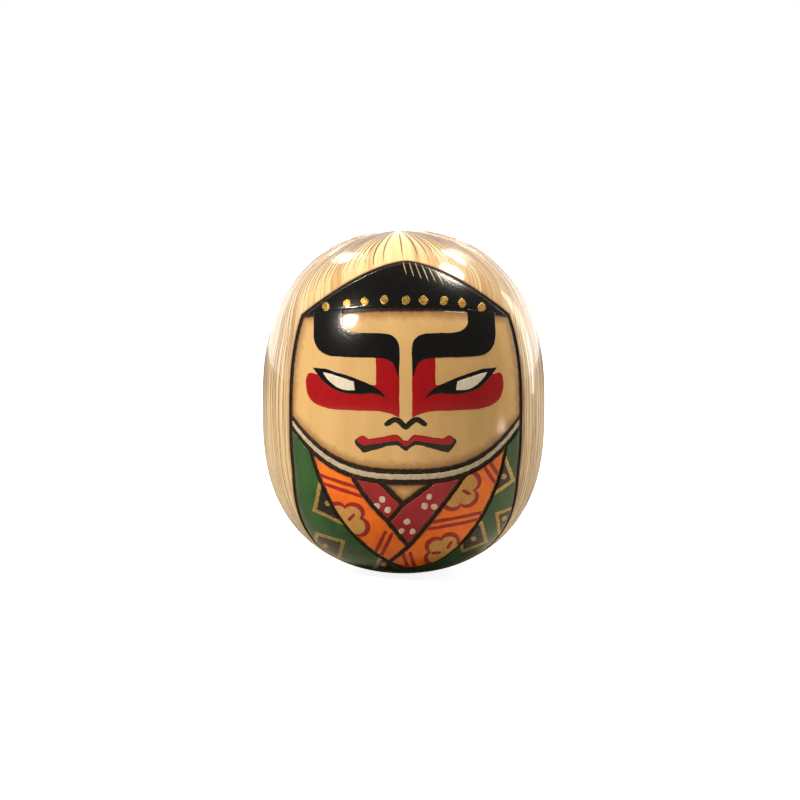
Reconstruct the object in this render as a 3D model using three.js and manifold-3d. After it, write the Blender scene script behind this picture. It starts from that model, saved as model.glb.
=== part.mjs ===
// A turned wooden daruma doll, egg shaped and painted with a lion dancer's face.
//
// Millimetres, +Z up. The origin is the centre of the foot on the table, and the face looks
// along -Y. Left means the -X side, right the +X side.
//
// The wooden egg is one turned piece with a blind bore from beneath. An iron slug in the bore
// rights the doll, and a wooden plug with a flat foot closes it. Each colour of the painting is
// a thin coat on the wood. The coats are drawn on the front elevation, in x and z, and cut out
// of a thin shell of the egg.

import * as THREE from 'three';
import { mergeVertices } from 'three/addons/utils/BufferGeometryUtils.js';
import Module from 'manifold-3d';

const wasm = await Module();
wasm.setup();

// ---------------------------------------------------------------- driving dimensions

const HEIGHT = 85;
const GIRTH_RADIUS = 35.2;
const GIRTH_HEIGHT = 40.5;
const FOOT_RADIUS = 8;

// The egg's profile is a superellipse above the girth and another below it.
const CROWN_POWER = 2.6;
const BASE_POWER = 2.65;
const WAIST_POWER = 2.1;

const COAT = 0.3;
const GAP = 0.3;
const BODY_INSET = COAT + GAP;

const BORE_RADIUS = 11;
const BORE_DEPTH = 26;
const PLUG_LENGTH = 4.5;
const BARE_RING = 1;
const SLUG_LENGTH = 20;

const TURNS = 40;
const RINGS_PER_HALF = 10;

// The painted front panel is this many degrees wide on each side of the centre line.
const PANEL_ANGLE = 52;
// Below this height the panel widens, by up to so many degrees at the foot.
const FLARE_TOP = 28;
const FLARE = 15;

// The painter set the face a little to the left of the panel's centre line.
const FACE_SHIFT = -0.4;

// ---------------------------------------------------------------- the egg

const crownDepth = HEIGHT - GIRTH_HEIGHT;
// The lower pole lies just below the table, so that the cut at the table has the foot's radius.
const footCut = (1 - (FOOT_RADIUS / GIRTH_RADIUS) ** WAIST_POWER) ** (1 / BASE_POWER);
const baseDepth = GIRTH_HEIGHT / footCut;

function eggRadius(z, inset = 0) {
  const above = z > GIRTH_HEIGHT;
  const depth = (above ? crownDepth : baseDepth) - inset;
  const power = above ? CROWN_POWER : BASE_POWER;
  const along = Math.min(Math.abs(z - GIRTH_HEIGHT) / depth, 1);
  return (GIRTH_RADIUS - inset) * (1 - along ** power) ** (1 / WAIST_POWER);
}

function eggHeight(radius, inset = 0) {
  const across = radius / (GIRTH_RADIUS - inset);
  const along = (1 - across ** WAIST_POWER) ** (1 / BASE_POWER);
  return GIRTH_HEIGHT - (baseDepth - inset) * along;
}

// Profile points from the lower pole to the upper one, evenly stepped in the curve's angle.
function eggProfile(inset) {
  const points = [];
  for (let ring = -RINGS_PER_HALF; ring <= RINGS_PER_HALF; ring += 1) {
    const angle = (ring / RINGS_PER_HALF) * (Math.PI / 2);
    const above = ring > 0;
    const depth = (above ? crownDepth : baseDepth) - inset;
    const power = above ? CROWN_POWER : BASE_POWER;
    const rise = Math.sign(ring) * depth * Math.abs(Math.sin(angle)) ** (2 / power);
    const atPole = Math.abs(ring) === RINGS_PER_HALF;
    const radius = atPole ? 0 : (GIRTH_RADIUS - inset) * Math.cos(angle) ** (2 / WAIST_POWER);
    points.push(new THREE.Vector2(radius, GIRTH_HEIGHT + rise));
  }
  return points;
}

// ---------------------------------------------------------------- solids

function toSolid(geometry) {
  const bare = geometry.clone();
  bare.deleteAttribute('normal');
  bare.deleteAttribute('uv');
  const merged = mergeVertices(bare);
  const index = merged.index.array;
  const corners = [];
  for (let i = 0; i < index.length; i += 3) {
    const [a, b, c] = [index[i], index[i + 1], index[i + 2]];
    if (a !== b && b !== c && c !== a) {
      corners.push(a, b, c);
    }
  }
  const mesh = new wasm.Mesh({
    numProp: 3,
    vertProperties: Float32Array.from(merged.attributes.position.array),
    triVerts: Uint32Array.from(corners),
  });
  return new wasm.Manifold(mesh);
}

function toGeometry(solid) {
  const mesh = solid.getMesh();
  const geometry = new THREE.BufferGeometry();
  geometry.setAttribute('position', new THREE.BufferAttribute(mesh.vertProperties, 3));
  geometry.setIndex(new THREE.BufferAttribute(mesh.triVerts, 1));
  geometry.computeVertexNormals();
  return geometry;
}

// A profile of (radius, z) points turned about the Z axis.
function turned(profile) {
  const geometry = new THREE.LatheGeometry(profile, TURNS);
  geometry.rotateX(Math.PI / 2);
  return toSolid(geometry);
}

// A front-elevation outline pushed through the front half of the doll.
function frontPrism(outline) {
  const shape = new THREE.Shape(outline);
  const geometry = new THREE.ExtrudeGeometry(shape, { depth: 2 * GIRTH_RADIUS, bevelEnabled: false });
  geometry.rotateX(Math.PI / 2);
  return toSolid(geometry);
}

// ---------------------------------------------------------------- drawing

const CURVE_STEPS = 4;

// An outline from a pen path: the pen draws lines and curves with THREE.Shape's own calls.
function drawOutline(startX, startZ, draw) {
  const pen = new THREE.Shape();
  pen.moveTo(startX, startZ);
  draw(pen);
  const outline = [];
  for (const point of pen.getPoints(CURVE_STEPS)) {
    const last = outline[outline.length - 1];
    if (!last || last.distanceTo(point) > GAP / 2) {
      outline.push(point);
    }
  }
  if (outline[0].distanceTo(outline[outline.length - 1]) < GAP / 2) {
    outline.pop();
  }
  return outline;
}

// A polygon whose corners [x, z, cut] are rounded by curves that start `cut` before each corner.
function roundedOutline(corners) {
  const at = (i) => new THREE.Vector2(...corners[(i + corners.length) % corners.length].slice(0, 2));
  const near = (i, towards) => {
    const corner = at(i);
    const way = at(towards).sub(corner);
    return corner.add(way.setLength(Math.min(corners[i][2], way.length() / 2)));
  };
  const start = near(0, 1);
  return drawOutline(start.x, start.y, (pen) => {
    for (let step = 1; step <= corners.length; step += 1) {
      const i = step % corners.length;
      const before = near(i, i - 1);
      const after = near(i, i + 1);
      pen.lineTo(before.x, before.y);
      pen.quadraticCurveTo(at(i).x, at(i).y, after.x, after.y);
    }
  });
}

// A symmetrical line across the front: z moves from `middle` to `end` as a power of x.
function bow(reach, middle, end, power, steps = 12) {
  const points = [];
  for (let i = 0; i <= steps; i += 1) {
    const across = (2 * i) / steps - 1;
    points.push(new THREE.Vector2(across * reach, middle + (end - middle) * Math.abs(across) ** power));
  }
  return points;
}

// The ring between an upper and a lower line that both run from left to right.
const between = (upper, lower) => [...upper, ...[...lower].reverse()];

function onFace(outline, side = 1) {
  return outline.map((point) => new THREE.Vector2(side * point.x + FACE_SHIFT, point.y));
}

// The outline moved outwards by a distance, to clear a neighbour.
function grown(outline, distance = GAP) {
  const turn = THREE.ShapeUtils.isClockWise(outline) ? -1 : 1;
  return outline.map((point, i) => {
    const before = outline[(i + outline.length - 1) % outline.length];
    const after = outline[(i + 1) % outline.length];
    const along = after.clone().sub(before).normalize();
    return new THREE.Vector2(point.x + turn * along.y * distance, point.y - turn * along.x * distance);
  });
}

function disc(x, z, diameter, sides = 8) {
  const outline = [];
  for (let i = 0; i < sides; i += 1) {
    const angle = (i / sides) * 2 * Math.PI;
    outline.push(new THREE.Vector2(x + Math.cos(angle) * diameter / 2, z + Math.sin(angle) * diameter / 2));
  }
  return outline;
}

// ---------------------------------------------------------------- levels and reaches

// Heights above the table.
const FORELOCK_TOP = 78;
const FORELOCK_FOOT = 67.5;
const TEMPLE = 65;
const BROW_TOP = 61.5;
const BROW_FOOT = 56;
const BROW_TIP = 51;
const EYE_OUTER = 52.5;
const EYE_INNER = 46.5;
const CHEEK_FOOT = 43.5;
const CHEEK_TIP = 42;
const NOSE_LEVEL = 41.5;
const LIP_TOP = 37.5;
const LIP_FOOT = 35;
const JAW = 41;
const CHIN = 29;
const COLLAR_WIDTH = 2.5;
const BELLY = -2;

// Distances from the face's centre line.
const NOSE_SIDE = 1.5;
const COLUMN_SIDE = 7;
const BROW_REACH = 21.7;
const EYE_START = 4.5;
const EYE_REACH = 21.5;
const CHEEK_REACH = 23.6;
const MOUTH_REACH = 11;
const NOSE_REACH = 5;
const NOSE_STROKE = 0.8;

function panelEdge(z) {
  const flare = FLARE * (Math.max(FLARE_TOP - z, 0) / FLARE_TOP) ** 1.3;
  return eggRadius(z) * Math.sin(THREE.MathUtils.degToRad(PANEL_ANGLE + flare));
}

// ---------------------------------------------------------------- the panel's lines

// The forelock rises to a point of little curvature; the chin is flat in the middle.
const forelockTop = bow(panelEdge(TEMPLE), FORELOCK_TOP, TEMPLE, 1.6);
const forelockFoot = bow(panelEdge(TEMPLE), FORELOCK_FOOT, TEMPLE, 2.5);
const CHIN_POWER = 3;
const chinLine = bow(panelEdge(JAW), CHIN, JAW, CHIN_POWER);
const collarLine = bow(panelEdge(JAW), CHIN - COLLAR_WIDTH, JAW - COLLAR_WIDTH, CHIN_POWER);

// The point half way down the collar band at a distance from the centre line.
function underBand(x) {
  const rise = (JAW - CHIN) * (Math.abs(x) / panelEdge(JAW)) ** CHIN_POWER;
  return [x, CHIN + rise - COLLAR_WIDTH / 2];
}

const band = between(forelockTop, forelockFoot.slice(1, -1));
const collar = between(chinLine, collarLine);

function makePanel() {
  const steps = 12;
  const side = [];
  // The steps shorten towards the base, where the surface turns under.
  for (let i = 1; i <= steps; i += 1) {
    const z = TEMPLE * (1 - i / steps) ** 2;
    side.push(new THREE.Vector2(panelEdge(z), z));
  }
  side.push(new THREE.Vector2(panelEdge(0), BELLY));
  const otherSide = side.map((point) => new THREE.Vector2(-point.x, point.y)).reverse();
  return [...forelockTop, ...side, ...otherSide];
}

const panel = makePanel();

// ---------------------------------------------------------------- the face, right half

// The brow hangs from the forelock and hooks down beside the nose.
const browHalf = roundedOutline([
  [NOSE_SIDE, BROW_TIP, 0.5],
  [NOSE_SIDE - 1, BROW_TOP, 4],
  [BROW_REACH - 7, BROW_TOP, 2],
  [BROW_REACH - 6, FORELOCK_FOOT, 0.5],
  [BROW_REACH, FORELOCK_FOOT - 2, 0.5],
  [BROW_REACH, BROW_FOOT, 5],
  [NOSE_SIDE + 1, BROW_FOOT, 3],
]);

// The red runs up beside the nose to the brow, and out under the eye to the cheek.
const cheekHalf = roundedOutline([
  [NOSE_SIDE, CHEEK_TIP, 0.5],
  [NOSE_SIDE, BROW_FOOT, 1],
  [COLUMN_SIDE, BROW_FOOT + 1, 0.5],
  [COLUMN_SIDE, (EYE_OUTER + EYE_INNER) / 2, 1],
  [EYE_REACH - 1, EYE_OUTER, 0.5],
  [CHEEK_REACH, EYE_OUTER - 2, 2],
  [CHEEK_REACH, CHEEK_FOOT, 5],
  [NOSE_SIDE + 3, CHEEK_FOOT, 2],
]);

// The eye line swings from the outer corner down to a point beside the nose.
const eyeHalf = drawOutline(EYE_REACH, EYE_OUTER, (pen) => {
  pen.quadraticCurveTo(EYE_REACH - 8, EYE_OUTER, EYE_START, EYE_INNER);
  pen.bezierCurveTo(EYE_START + 5, EYE_INNER + 2, EYE_REACH - 4, EYE_INNER - 1.5, EYE_REACH, EYE_OUTER);
});

const WHITE_START = EYE_START + 7.5;
const WHITE_END = EYE_REACH - 2;
const eyeWhiteHalf = drawOutline(WHITE_END, EYE_OUTER - 1, (pen) => {
  pen.quadraticCurveTo(WHITE_END - 3, EYE_OUTER - 1, WHITE_START, EYE_OUTER - 2.5);
  pen.lineTo(WHITE_START, EYE_OUTER - 4);
  pen.quadraticCurveTo(WHITE_END - 2, EYE_OUTER - 4, WHITE_END, EYE_OUTER - 1);
});

// Two nostril arches that meet in a dip.
const ARCH_RISE = 1.5;
function noseLine(lift) {
  const steps = 12;
  const points = [];
  for (let i = 0; i <= steps; i += 1) {
    const across = (2 * i) / steps - 1;
    const dip = ARCH_RISE * Math.cos(Math.PI * across) ** 2;
    points.push(new THREE.Vector2(across * NOSE_REACH, NOSE_LEVEL + lift - dip));
  }
  return points;
}
const nose = between(noseLine(NOSE_STROKE / 2), noseLine(-NOSE_STROKE / 2));

// A lip line sinks towards the mouth's corners, with a notch in the middle.
const LIP_NOTCH = 1;
function lipLine(level, sink) {
  const steps = 14;
  const points = [];
  for (let i = 0; i <= steps; i += 1) {
    const across = (2 * i) / steps - 1;
    const notch = LIP_NOTCH * Math.exp(-((across * MOUTH_REACH) ** 2) / 2);
    points.push(new THREE.Vector2(across * MOUTH_REACH, level - sink * across ** 2 - notch));
  }
  return points;
}

const LIP_SINK = 1;
const lipTop = lipLine(LIP_TOP + LIP_NOTCH / 2, LIP_SINK);
const lipSeam = lipLine((LIP_TOP + LIP_FOOT + LIP_NOTCH) / 2, LIP_SINK);
const lipBottom = lipLine(LIP_FOOT + LIP_NOTCH / 2, LIP_SINK);
const lipRed = between(lipTop, lipSeam);
const lipBlack = between(lipSeam, lipBottom);

// ---------------------------------------------------------------- the robe

// The robe laps right over left, below a V neck.
const NECK_REACH = 6.5;
const UNDER_REACH = 13;
const LAPEL_REACH = 23;
const NECK_POINT = [-1, 21];
const CROSSING = [-4.5, 16.5];
const LAP_POINT = [0.5, 9.8];
const HEM_POINT = [-4, 5];

const underCollarLeft = drawOutline(...CROSSING, (pen) => {
  pen.lineTo(...NECK_POINT);
  pen.lineTo(...underBand(-NECK_REACH));
  pen.lineTo(...underBand(-UNDER_REACH));
  pen.quadraticCurveTo(-UNDER_REACH + 3, CHIN - 7, ...CROSSING);
});

const underCollarRight = drawOutline(...CROSSING, (pen) => {
  pen.lineTo(...LAP_POINT);
  pen.quadraticCurveTo(UNDER_REACH - 4, CHIN - 8, ...underBand(UNDER_REACH + 1));
  pen.lineTo(...underBand(NECK_REACH));
  pen.lineTo(...NECK_POINT);
});

const lapelLeft = drawOutline(...CROSSING, (pen) => {
  pen.quadraticCurveTo(-UNDER_REACH + 3, CHIN - 7, ...underBand(-UNDER_REACH));
  pen.lineTo(...underBand(-LAPEL_REACH));
  pen.quadraticCurveTo(-LAPEL_REACH + 5, CHIN - 15, ...HEM_POINT);
  pen.lineTo(...LAP_POINT);
});

const lapelRight = drawOutline(...LAP_POINT, (pen) => {
  pen.quadraticCurveTo(UNDER_REACH - 4, CHIN - 8, ...underBand(UNDER_REACH + 1));
  pen.lineTo(...underBand(LAPEL_REACH + 1));
  pen.bezierCurveTo(LAPEL_REACH - 1, CHIN - 10, LAPEL_REACH / 2, 2.5, 0, 2.8);
  pen.lineTo(...HEM_POINT);
});

const throat = drawOutline(...NECK_POINT, (pen) => {
  pen.lineTo(...underBand(NECK_REACH));
  pen.lineTo(...underBand(-NECK_REACH));
});

// Everything below the collar band, in two halves that meet under the belly.
const ROBE_SPLIT = -2;
const robeHalf = (side) => drawOutline(ROBE_SPLIT, BELLY, (pen) => {
  pen.lineTo(ROBE_SPLIT, JAW);
  pen.lineTo(side * GIRTH_RADIUS, JAW);
  pen.lineTo(side * GIRTH_RADIUS, BELLY);
});
const belowCollar = [
  ...collarLine,
  new THREE.Vector2(GIRTH_RADIUS, CHIN),
  new THREE.Vector2(GIRTH_RADIUS, BELLY),
  new THREE.Vector2(-GIRTH_RADIUS, BELLY),
  new THREE.Vector2(-GIRTH_RADIUS, CHIN),
];

// ---------------------------------------------------------------- wooden and iron pieces

function makeBody() {
  const mouth = new THREE.Vector2(BORE_RADIUS, eggHeight(BORE_RADIUS, BODY_INSET));
  const clearOfMouth = (point) => point.y > GIRTH_HEIGHT || point.x > BORE_RADIUS + BARE_RING;
  const outside = eggProfile(BODY_INSET).filter(clearOfMouth);
  return turned([
    new THREE.Vector2(0, BORE_DEPTH),
    new THREE.Vector2(BORE_RADIUS, BORE_DEPTH),
    mouth,
    ...outside,
  ]);
}

function makeBallast() {
  const radius = BORE_RADIUS - GAP;
  const bottom = PLUG_LENGTH + GAP;
  return turned([
    new THREE.Vector2(0, bottom),
    new THREE.Vector2(radius, bottom),
    new THREE.Vector2(radius, bottom + SLUG_LENGTH),
    new THREE.Vector2(0, bottom + SLUG_LENGTH),
  ]);
}

function makeBasePlug() {
  const radius = BORE_RADIUS - GAP;
  return turned([
    new THREE.Vector2(0, 0),
    new THREE.Vector2(FOOT_RADIUS, 0),
    new THREE.Vector2(radius, eggHeight(radius)),
    new THREE.Vector2(radius, PLUG_LENGTH),
    new THREE.Vector2(0, PLUG_LENGTH),
  ]);
}

// ---------------------------------------------------------------- coats of paint

// The coats stop short of the plug, so that bare wood rings the foot.
function makeShell() {
  const radius = BORE_RADIUS + BARE_RING;
  const bareRing = turned([
    new THREE.Vector2(0, BELLY),
    new THREE.Vector2(radius, BELLY),
    new THREE.Vector2(radius, PLUG_LENGTH),
    new THREE.Vector2(0, PLUG_LENGTH),
  ]);
  return turned(eggProfile(0)).subtract(turned(eggProfile(COAT))).subtract(bareRing);
}

const shell = makeShell();

function coat(outline, ...neighbours) {
  let solid = shell.intersect(frontPrism(outline));
  for (const neighbour of neighbours) {
    solid = solid.subtract(frontPrism(grown(neighbour)));
  }
  return solid;
}

function robeCoat(side) {
  const half = frontPrism(grown(robeHalf(side), -GAP / 2));
  const cloth = [lapelLeft, lapelRight, underCollarLeft, underCollarRight, throat];
  const solid = coat(grown(panel, -GAP), ...cloth);
  return solid.intersect(half).intersect(frontPrism(grown(belowCollar, -GAP)));
}

// ---------------------------------------------------------------- the assembly

const doll = new THREE.Group();

function addPiece(name, solid, finish) {
  const material = new THREE.MeshStandardMaterial({ metalness: 0, ...finish });
  const mesh = new THREE.Mesh(toGeometry(solid), material);
  mesh.name = name;
  doll.add(mesh);
}

const WOOD = { color: 0xd3a970, roughness: 0.35 };
const IRON = { color: 0x55575a, roughness: 0.6, metalness: 0.9 };
const MANE_WHITE = { color: 0xf0dfba, roughness: 0.3 };
const INK_BLACK = { color: 0x15120f, roughness: 0.25 };
const GOLD = { color: 0xc8963f, roughness: 0.35, metalness: 0.7 };
const FACE_RED = { color: 0xa30d1c, roughness: 0.25 };
const EYE_WHITE = { color: 0xf2ead6, roughness: 0.3 };
const COLLAR_SILVER = { color: 0xc9b59b, roughness: 0.35, metalness: 0.3 };
const CRIMSON = { color: 0x9d1c30, roughness: 0.3 };
const ORANGE = { color: 0xdf7722, roughness: 0.3 };
const GREEN = { color: 0x2a6b32, roughness: 0.3 };

addPiece('body', makeBody(), WOOD);
addPiece('ballast', makeBallast(), IRON);
addPiece('base_plug', makeBasePlug(), WOOD);

addPiece('hair_coat', shell.subtract(frontPrism(grown(panel))), MANE_WHITE);

// The dots follow the band's lower edge, from one side of the forelock to the other.
const DOT_COUNT = 9;
const DOT_DIAMETER = 2;
const DOT_SPREAD = 18.5;
const DOT_CREST = FORELOCK_FOOT + DOT_DIAMETER;
const DOT_DROOP = 2;
const dots = [];
for (let i = 0; i < DOT_COUNT; i += 1) {
  const across = (2 * i) / (DOT_COUNT - 1) - 1;
  dots.push(disc(FACE_SHIFT + across * DOT_SPREAD, DOT_CREST - DOT_DROOP * across ** 2, DOT_DIAMETER));
}
addPiece('crown_band', coat(grown(band, -GAP / 2), ...dots), INK_BLACK);
dots.forEach((dot, i) => addPiece(`gold_dot_${i + 1}`, coat(dot), GOLD));

for (const [name, side] of [['left', -1], ['right', 1]]) {
  const brow = onFace(browHalf, side);
  const eye = onFace(eyeHalf, side);
  const white = onFace(eyeWhiteHalf, side);
  addPiece(`brow_${name}`, coat(brow, band), INK_BLACK);
  addPiece(`cheek_red_${name}`, coat(onFace(cheekHalf, side), brow, eye), FACE_RED);
  addPiece(`eye_line_${name}`, coat(eye, white), INK_BLACK);
  addPiece(`eye_white_${name}`, coat(white), EYE_WHITE);
}

addPiece('nose_line', coat(onFace(nose)), INK_BLACK);
addPiece('lip_black', coat(onFace(lipBlack)), INK_BLACK);
addPiece('lip_red', coat(onFace(lipRed), onFace(lipBlack)), FACE_RED);

addPiece('collar_band', coat(grown(collar, -GAP)), COLLAR_SILVER);
addPiece('under_collar_left', coat(grown(underCollarLeft, -GAP), collar, underCollarRight), CRIMSON);
addPiece('under_collar_right', coat(grown(underCollarRight, -GAP), collar), CRIMSON);
addPiece('lapel_left', coat(grown(lapelLeft, -GAP), collar, underCollarLeft, underCollarRight), ORANGE);
addPiece('lapel_right', coat(grown(lapelRight, -GAP), collar, underCollarRight), ORANGE);
addPiece('robe_left', robeCoat(-1), GREEN);
addPiece('robe_right', robeCoat(1), GREEN);

export default doll;
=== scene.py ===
"""A turned, burnt, painted and lacquered daruma doll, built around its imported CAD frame.

Design sizes are in millimetres on the doll's front elevation: x to the right of someone facing
the doll, z up from the table. The doll's face looks along -Y. Blender's units are metres.
"""

import math
import random

import bpy
import numpy as np
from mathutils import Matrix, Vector, kdtree
from mathutils.geometry import delaunay_2d_cdt


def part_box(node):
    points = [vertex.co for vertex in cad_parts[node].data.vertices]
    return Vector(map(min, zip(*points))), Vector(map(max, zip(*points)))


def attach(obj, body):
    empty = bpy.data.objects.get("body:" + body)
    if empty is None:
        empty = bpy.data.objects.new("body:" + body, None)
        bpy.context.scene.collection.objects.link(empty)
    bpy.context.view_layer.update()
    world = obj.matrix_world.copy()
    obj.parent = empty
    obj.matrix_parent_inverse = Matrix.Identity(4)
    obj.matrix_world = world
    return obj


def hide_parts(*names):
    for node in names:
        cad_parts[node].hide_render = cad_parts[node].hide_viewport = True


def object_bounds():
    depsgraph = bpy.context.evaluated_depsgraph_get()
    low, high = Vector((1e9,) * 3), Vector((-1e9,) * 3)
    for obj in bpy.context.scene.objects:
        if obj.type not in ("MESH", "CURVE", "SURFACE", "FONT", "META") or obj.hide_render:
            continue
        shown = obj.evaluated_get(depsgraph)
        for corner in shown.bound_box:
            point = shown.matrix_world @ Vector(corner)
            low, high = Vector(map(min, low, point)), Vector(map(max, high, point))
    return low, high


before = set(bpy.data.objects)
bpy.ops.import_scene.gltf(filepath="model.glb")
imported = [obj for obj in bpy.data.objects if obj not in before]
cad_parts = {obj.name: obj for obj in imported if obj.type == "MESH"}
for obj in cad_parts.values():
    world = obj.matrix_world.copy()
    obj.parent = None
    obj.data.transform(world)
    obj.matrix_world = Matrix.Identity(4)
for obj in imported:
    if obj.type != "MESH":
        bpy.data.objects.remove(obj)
cad_low, cad_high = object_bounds()

# ------------------------------------------------------------------ driving dimensions

HEIGHT = 85.0
MM = cad_high.z / HEIGHT
GIRTH_RADIUS = cad_high.x / MM
GIRTH_HEIGHT = 40.5
FOOT_RADIUS = 8.0
CROWN_POWER = 2.6
BASE_POWER = 2.65
WAIST_POWER = 2.1
# The panel of face and robe: half its angle, and how it widens from FLARE_TOP down to the foot.
PANEL_DEGREES = 52
PANEL_ANGLE = math.radians(PANEL_DEGREES)
FLARE_TOP = 28.0
FLARE = math.radians(15)
FLARE_POWER = 1.3
# The face is painted a little off the panel's middle.
FACE_SHIFT = -0.4

BORE_RADIUS = 11.0
BARE_RING = 1.0
PLUG_LENGTH = (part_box("base_plug")[1].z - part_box("base_plug")[0].z) / MM

# The burnt outlines: how wide and how deep the hot pen cut, in general, beside the mane, round
# the collar and over the forelock.
GROOVE = 1.0
SIDE_GROOVE = 1.35
COLLAR_GROOVE = 1.15
HAIRLINE = 0.5
GROOVE_DEPTH = 0.32
# How deep the painted shells reach under the turned surface, how wide their rounded rims are, and
# how far the surface sinks there.
SHELL_DEPTH = 0.3
ZONE_RIM = 0.25
ZONE_DROP = 0.12
MANE_RIM = 0.3
MANE_DROP = 0.14
# How thick one layer of paint over a zone is, and how wide its rim.
FILM = 0.05
FILM_RIM = 0.14

# Heights above the table.
FORELOCK_TOP = 78.0
FORELOCK_FOOT = 67.5
TEMPLE = 65.0
BROW_TOP = 61.5
BROW_FOOT = 56.0
BROW_TIP = 51.0
EYE_OUTER = 52.5
EYE_INNER = 46.5
CHEEK_FOOT = 43.5
CHEEK_TIP = 42.0
NOSE_LEVEL = 41.5
LIP_LEVEL = 36.5
JAW = 41.0
CHIN = 29.0
COLLAR_WIDTH = 2.5

# Distances from the face's centre line.
NOSE_SIDE = 1.5
COLUMN_SIDE = 7.0
BROW_REACH = 21.7
EYE_START = 4.5
EYE_REACH = 21.5
CHEEK_REACH = 23.6
MOUTH_REACH = 12.0
NOSE_REACH = 5.0

# How sharply the lines across the front turn in the middle: 1 is a V, and more is a bow.
CHIN_POWER = 3.0
FORELOCK_POWER = 1.6
FORELOCK_FOOT_POWER = 2.5

# ------------------------------------------------------------------ the egg

CROWN_DEPTH = HEIGHT - GIRTH_HEIGHT
FOOT_CUT = (1 - (FOOT_RADIUS / GIRTH_RADIUS) ** WAIST_POWER) ** (1 / BASE_POWER)
BASE_DEPTH = GIRTH_HEIGHT / FOOT_CUT


def half_shape(above):
    """The depth and power of the egg's upper half, or of its lower half."""
    return np.where(above, CROWN_DEPTH, BASE_DEPTH), np.where(above, CROWN_POWER, BASE_POWER)


def unit(vectors):
    return vectors / np.maximum(np.linalg.norm(vectors, axis=1), 1e-9)[:, None]


def egg_radius(z):
    """The egg's radius at a height, for one height or an array of them."""
    z = np.asarray(z, float)
    depth, power = half_shape(z > GIRTH_HEIGHT)
    along = np.clip(np.abs(z - GIRTH_HEIGHT) / depth, 0, 1)
    return GIRTH_RADIUS * (1 - along ** power) ** (1 / WAIST_POWER)


def base_height(radius):
    """The height of the egg's lower half at a radius."""
    along = (1 - (radius / GIRTH_RADIUS) ** WAIST_POWER) ** (1 / BASE_POWER)
    return GIRTH_HEIGHT - BASE_DEPTH * along


RING_HEIGHT = base_height(BORE_RADIUS + BARE_RING)


def outward(points):
    """Unit normals of the egg at surface points."""
    rel = points - np.array([0, 0, GIRTH_HEIGHT])
    radius = np.maximum(np.hypot(rel[:, 0], rel[:, 1]), 1e-9)
    depth, power = half_shape(rel[:, 2] > 0)
    side = WAIST_POWER * (radius / GIRTH_RADIUS) ** (WAIST_POWER - 1) / GIRTH_RADIUS
    rise = power * (np.abs(rel[:, 2]) / depth) ** (power - 1) / depth * np.sign(rel[:, 2])
    return unit(np.stack([side * rel[:, 0] / radius, side * rel[:, 1] / radius, rise], 1))


def lifted(points, lift):
    return points + outward(points) * np.asarray(lift).reshape(-1, 1)


# The chart is the sheet of paper that wraps the egg from the middle of its front: a point's
# distance from the chart's centre is its angle from straight ahead, times the girth's radius.


def to_chart(outline):
    """Front-elevation points as chart points."""
    x, z = outline[:, 0], outline[:, 1]
    y = -np.sqrt(np.maximum(egg_radius(z) ** 2 - x ** 2, 0))
    ray = unit(np.stack([x, y, z - GIRTH_HEIGHT], 1))
    angle = np.arccos(np.clip(-ray[:, 1], -1, 1))
    bearing = np.arctan2(ray[:, 2], ray[:, 0])
    return GIRTH_RADIUS * angle[:, None] * np.stack([np.cos(bearing), np.sin(bearing)], 1)


def from_chart(chart):
    """Chart points as points on the egg."""
    angle = np.hypot(chart[:, 0], chart[:, 1]) / GIRTH_RADIUS
    bearing = np.arctan2(chart[:, 1], chart[:, 0])
    ray = np.stack([
        np.sin(angle) * np.cos(bearing),
        -np.cos(angle),
        np.sin(angle) * np.sin(bearing),
    ], 1)
    across = np.hypot(ray[:, 0], ray[:, 1]) / GIRTH_RADIUS
    depth, power = half_shape(ray[:, 2] > 0)
    rise = np.abs(ray[:, 2]) / depth
    near = np.full(len(chart), 0.5 * GIRTH_RADIUS)
    far = np.full(len(chart), 2.0 * GIRTH_RADIUS)
    # Each halving brings the distance along the ray closer to the egg.
    for _ in range(45):
        middle = (near + far) / 2
        inside = (middle * across) ** WAIST_POWER + (middle * rise) ** power < 1
        near = np.where(inside, middle, near)
        far = np.where(inside, far, middle)
    return ray * near[:, None] + np.array([0, 0, GIRTH_HEIGHT])


# ------------------------------------------------------------------ drawing

CURVE_STEPS = 10


class Pen:
    """A pen that draws an outline with lines and curves, as [x, z] points."""

    def __init__(self, x, z):
        self.points = [np.array([x, z], float)]

    def line(self, x, z):
        self.points.append(np.array([x, z], float))
        return self

    def quad(self, cx, cz, x, z):
        start, middle, end = self.points[-1], np.array([cx, cz]), np.array([x, z])
        for t in np.linspace(0, 1, CURVE_STEPS + 1)[1:]:
            self.points.append((1 - t) ** 2 * start + 2 * t * (1 - t) * middle + t * t * end)
        return self

    def cubic(self, ax, az, bx, bz, x, z):
        start, end = self.points[-1], np.array([x, z])
        a, b = np.array([ax, az]), np.array([bx, bz])
        for t in np.linspace(0, 1, 2 * CURVE_STEPS + 1)[1:]:
            s = 1 - t
            self.points.append(s ** 3 * start + 3 * s * s * t * a + 3 * s * t * t * b + t ** 3 * end)
        return self

    def outline(self):
        return np.array(self.points)


def rounded(corners):
    """A polygon whose corners (x, z, cut) are rounded by curves that start `cut` before them."""
    spots = np.array([corner[:2] for corner in corners], float)
    count = len(corners)

    def near(i, towards):
        way = spots[towards % count] - spots[i]
        length = np.linalg.norm(way)
        return spots[i] + way / length * min(corners[i][2], length / 2)

    pen = Pen(*near(0, 1))
    for step in range(1, count + 1):
        i = step % count
        pen.line(*near(i, i - 1))
        pen.quad(*spots[i], *near(i, i + 1))
    return pen.outline()


def bow(reach, middle, end, power, steps=60):
    """A symmetrical line across the front: z moves from `middle` to `end` as a power of x."""
    across = np.linspace(-1, 1, steps + 1)
    return np.stack([across * reach, middle + (end - middle) * np.abs(across) ** power], 1)


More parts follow.
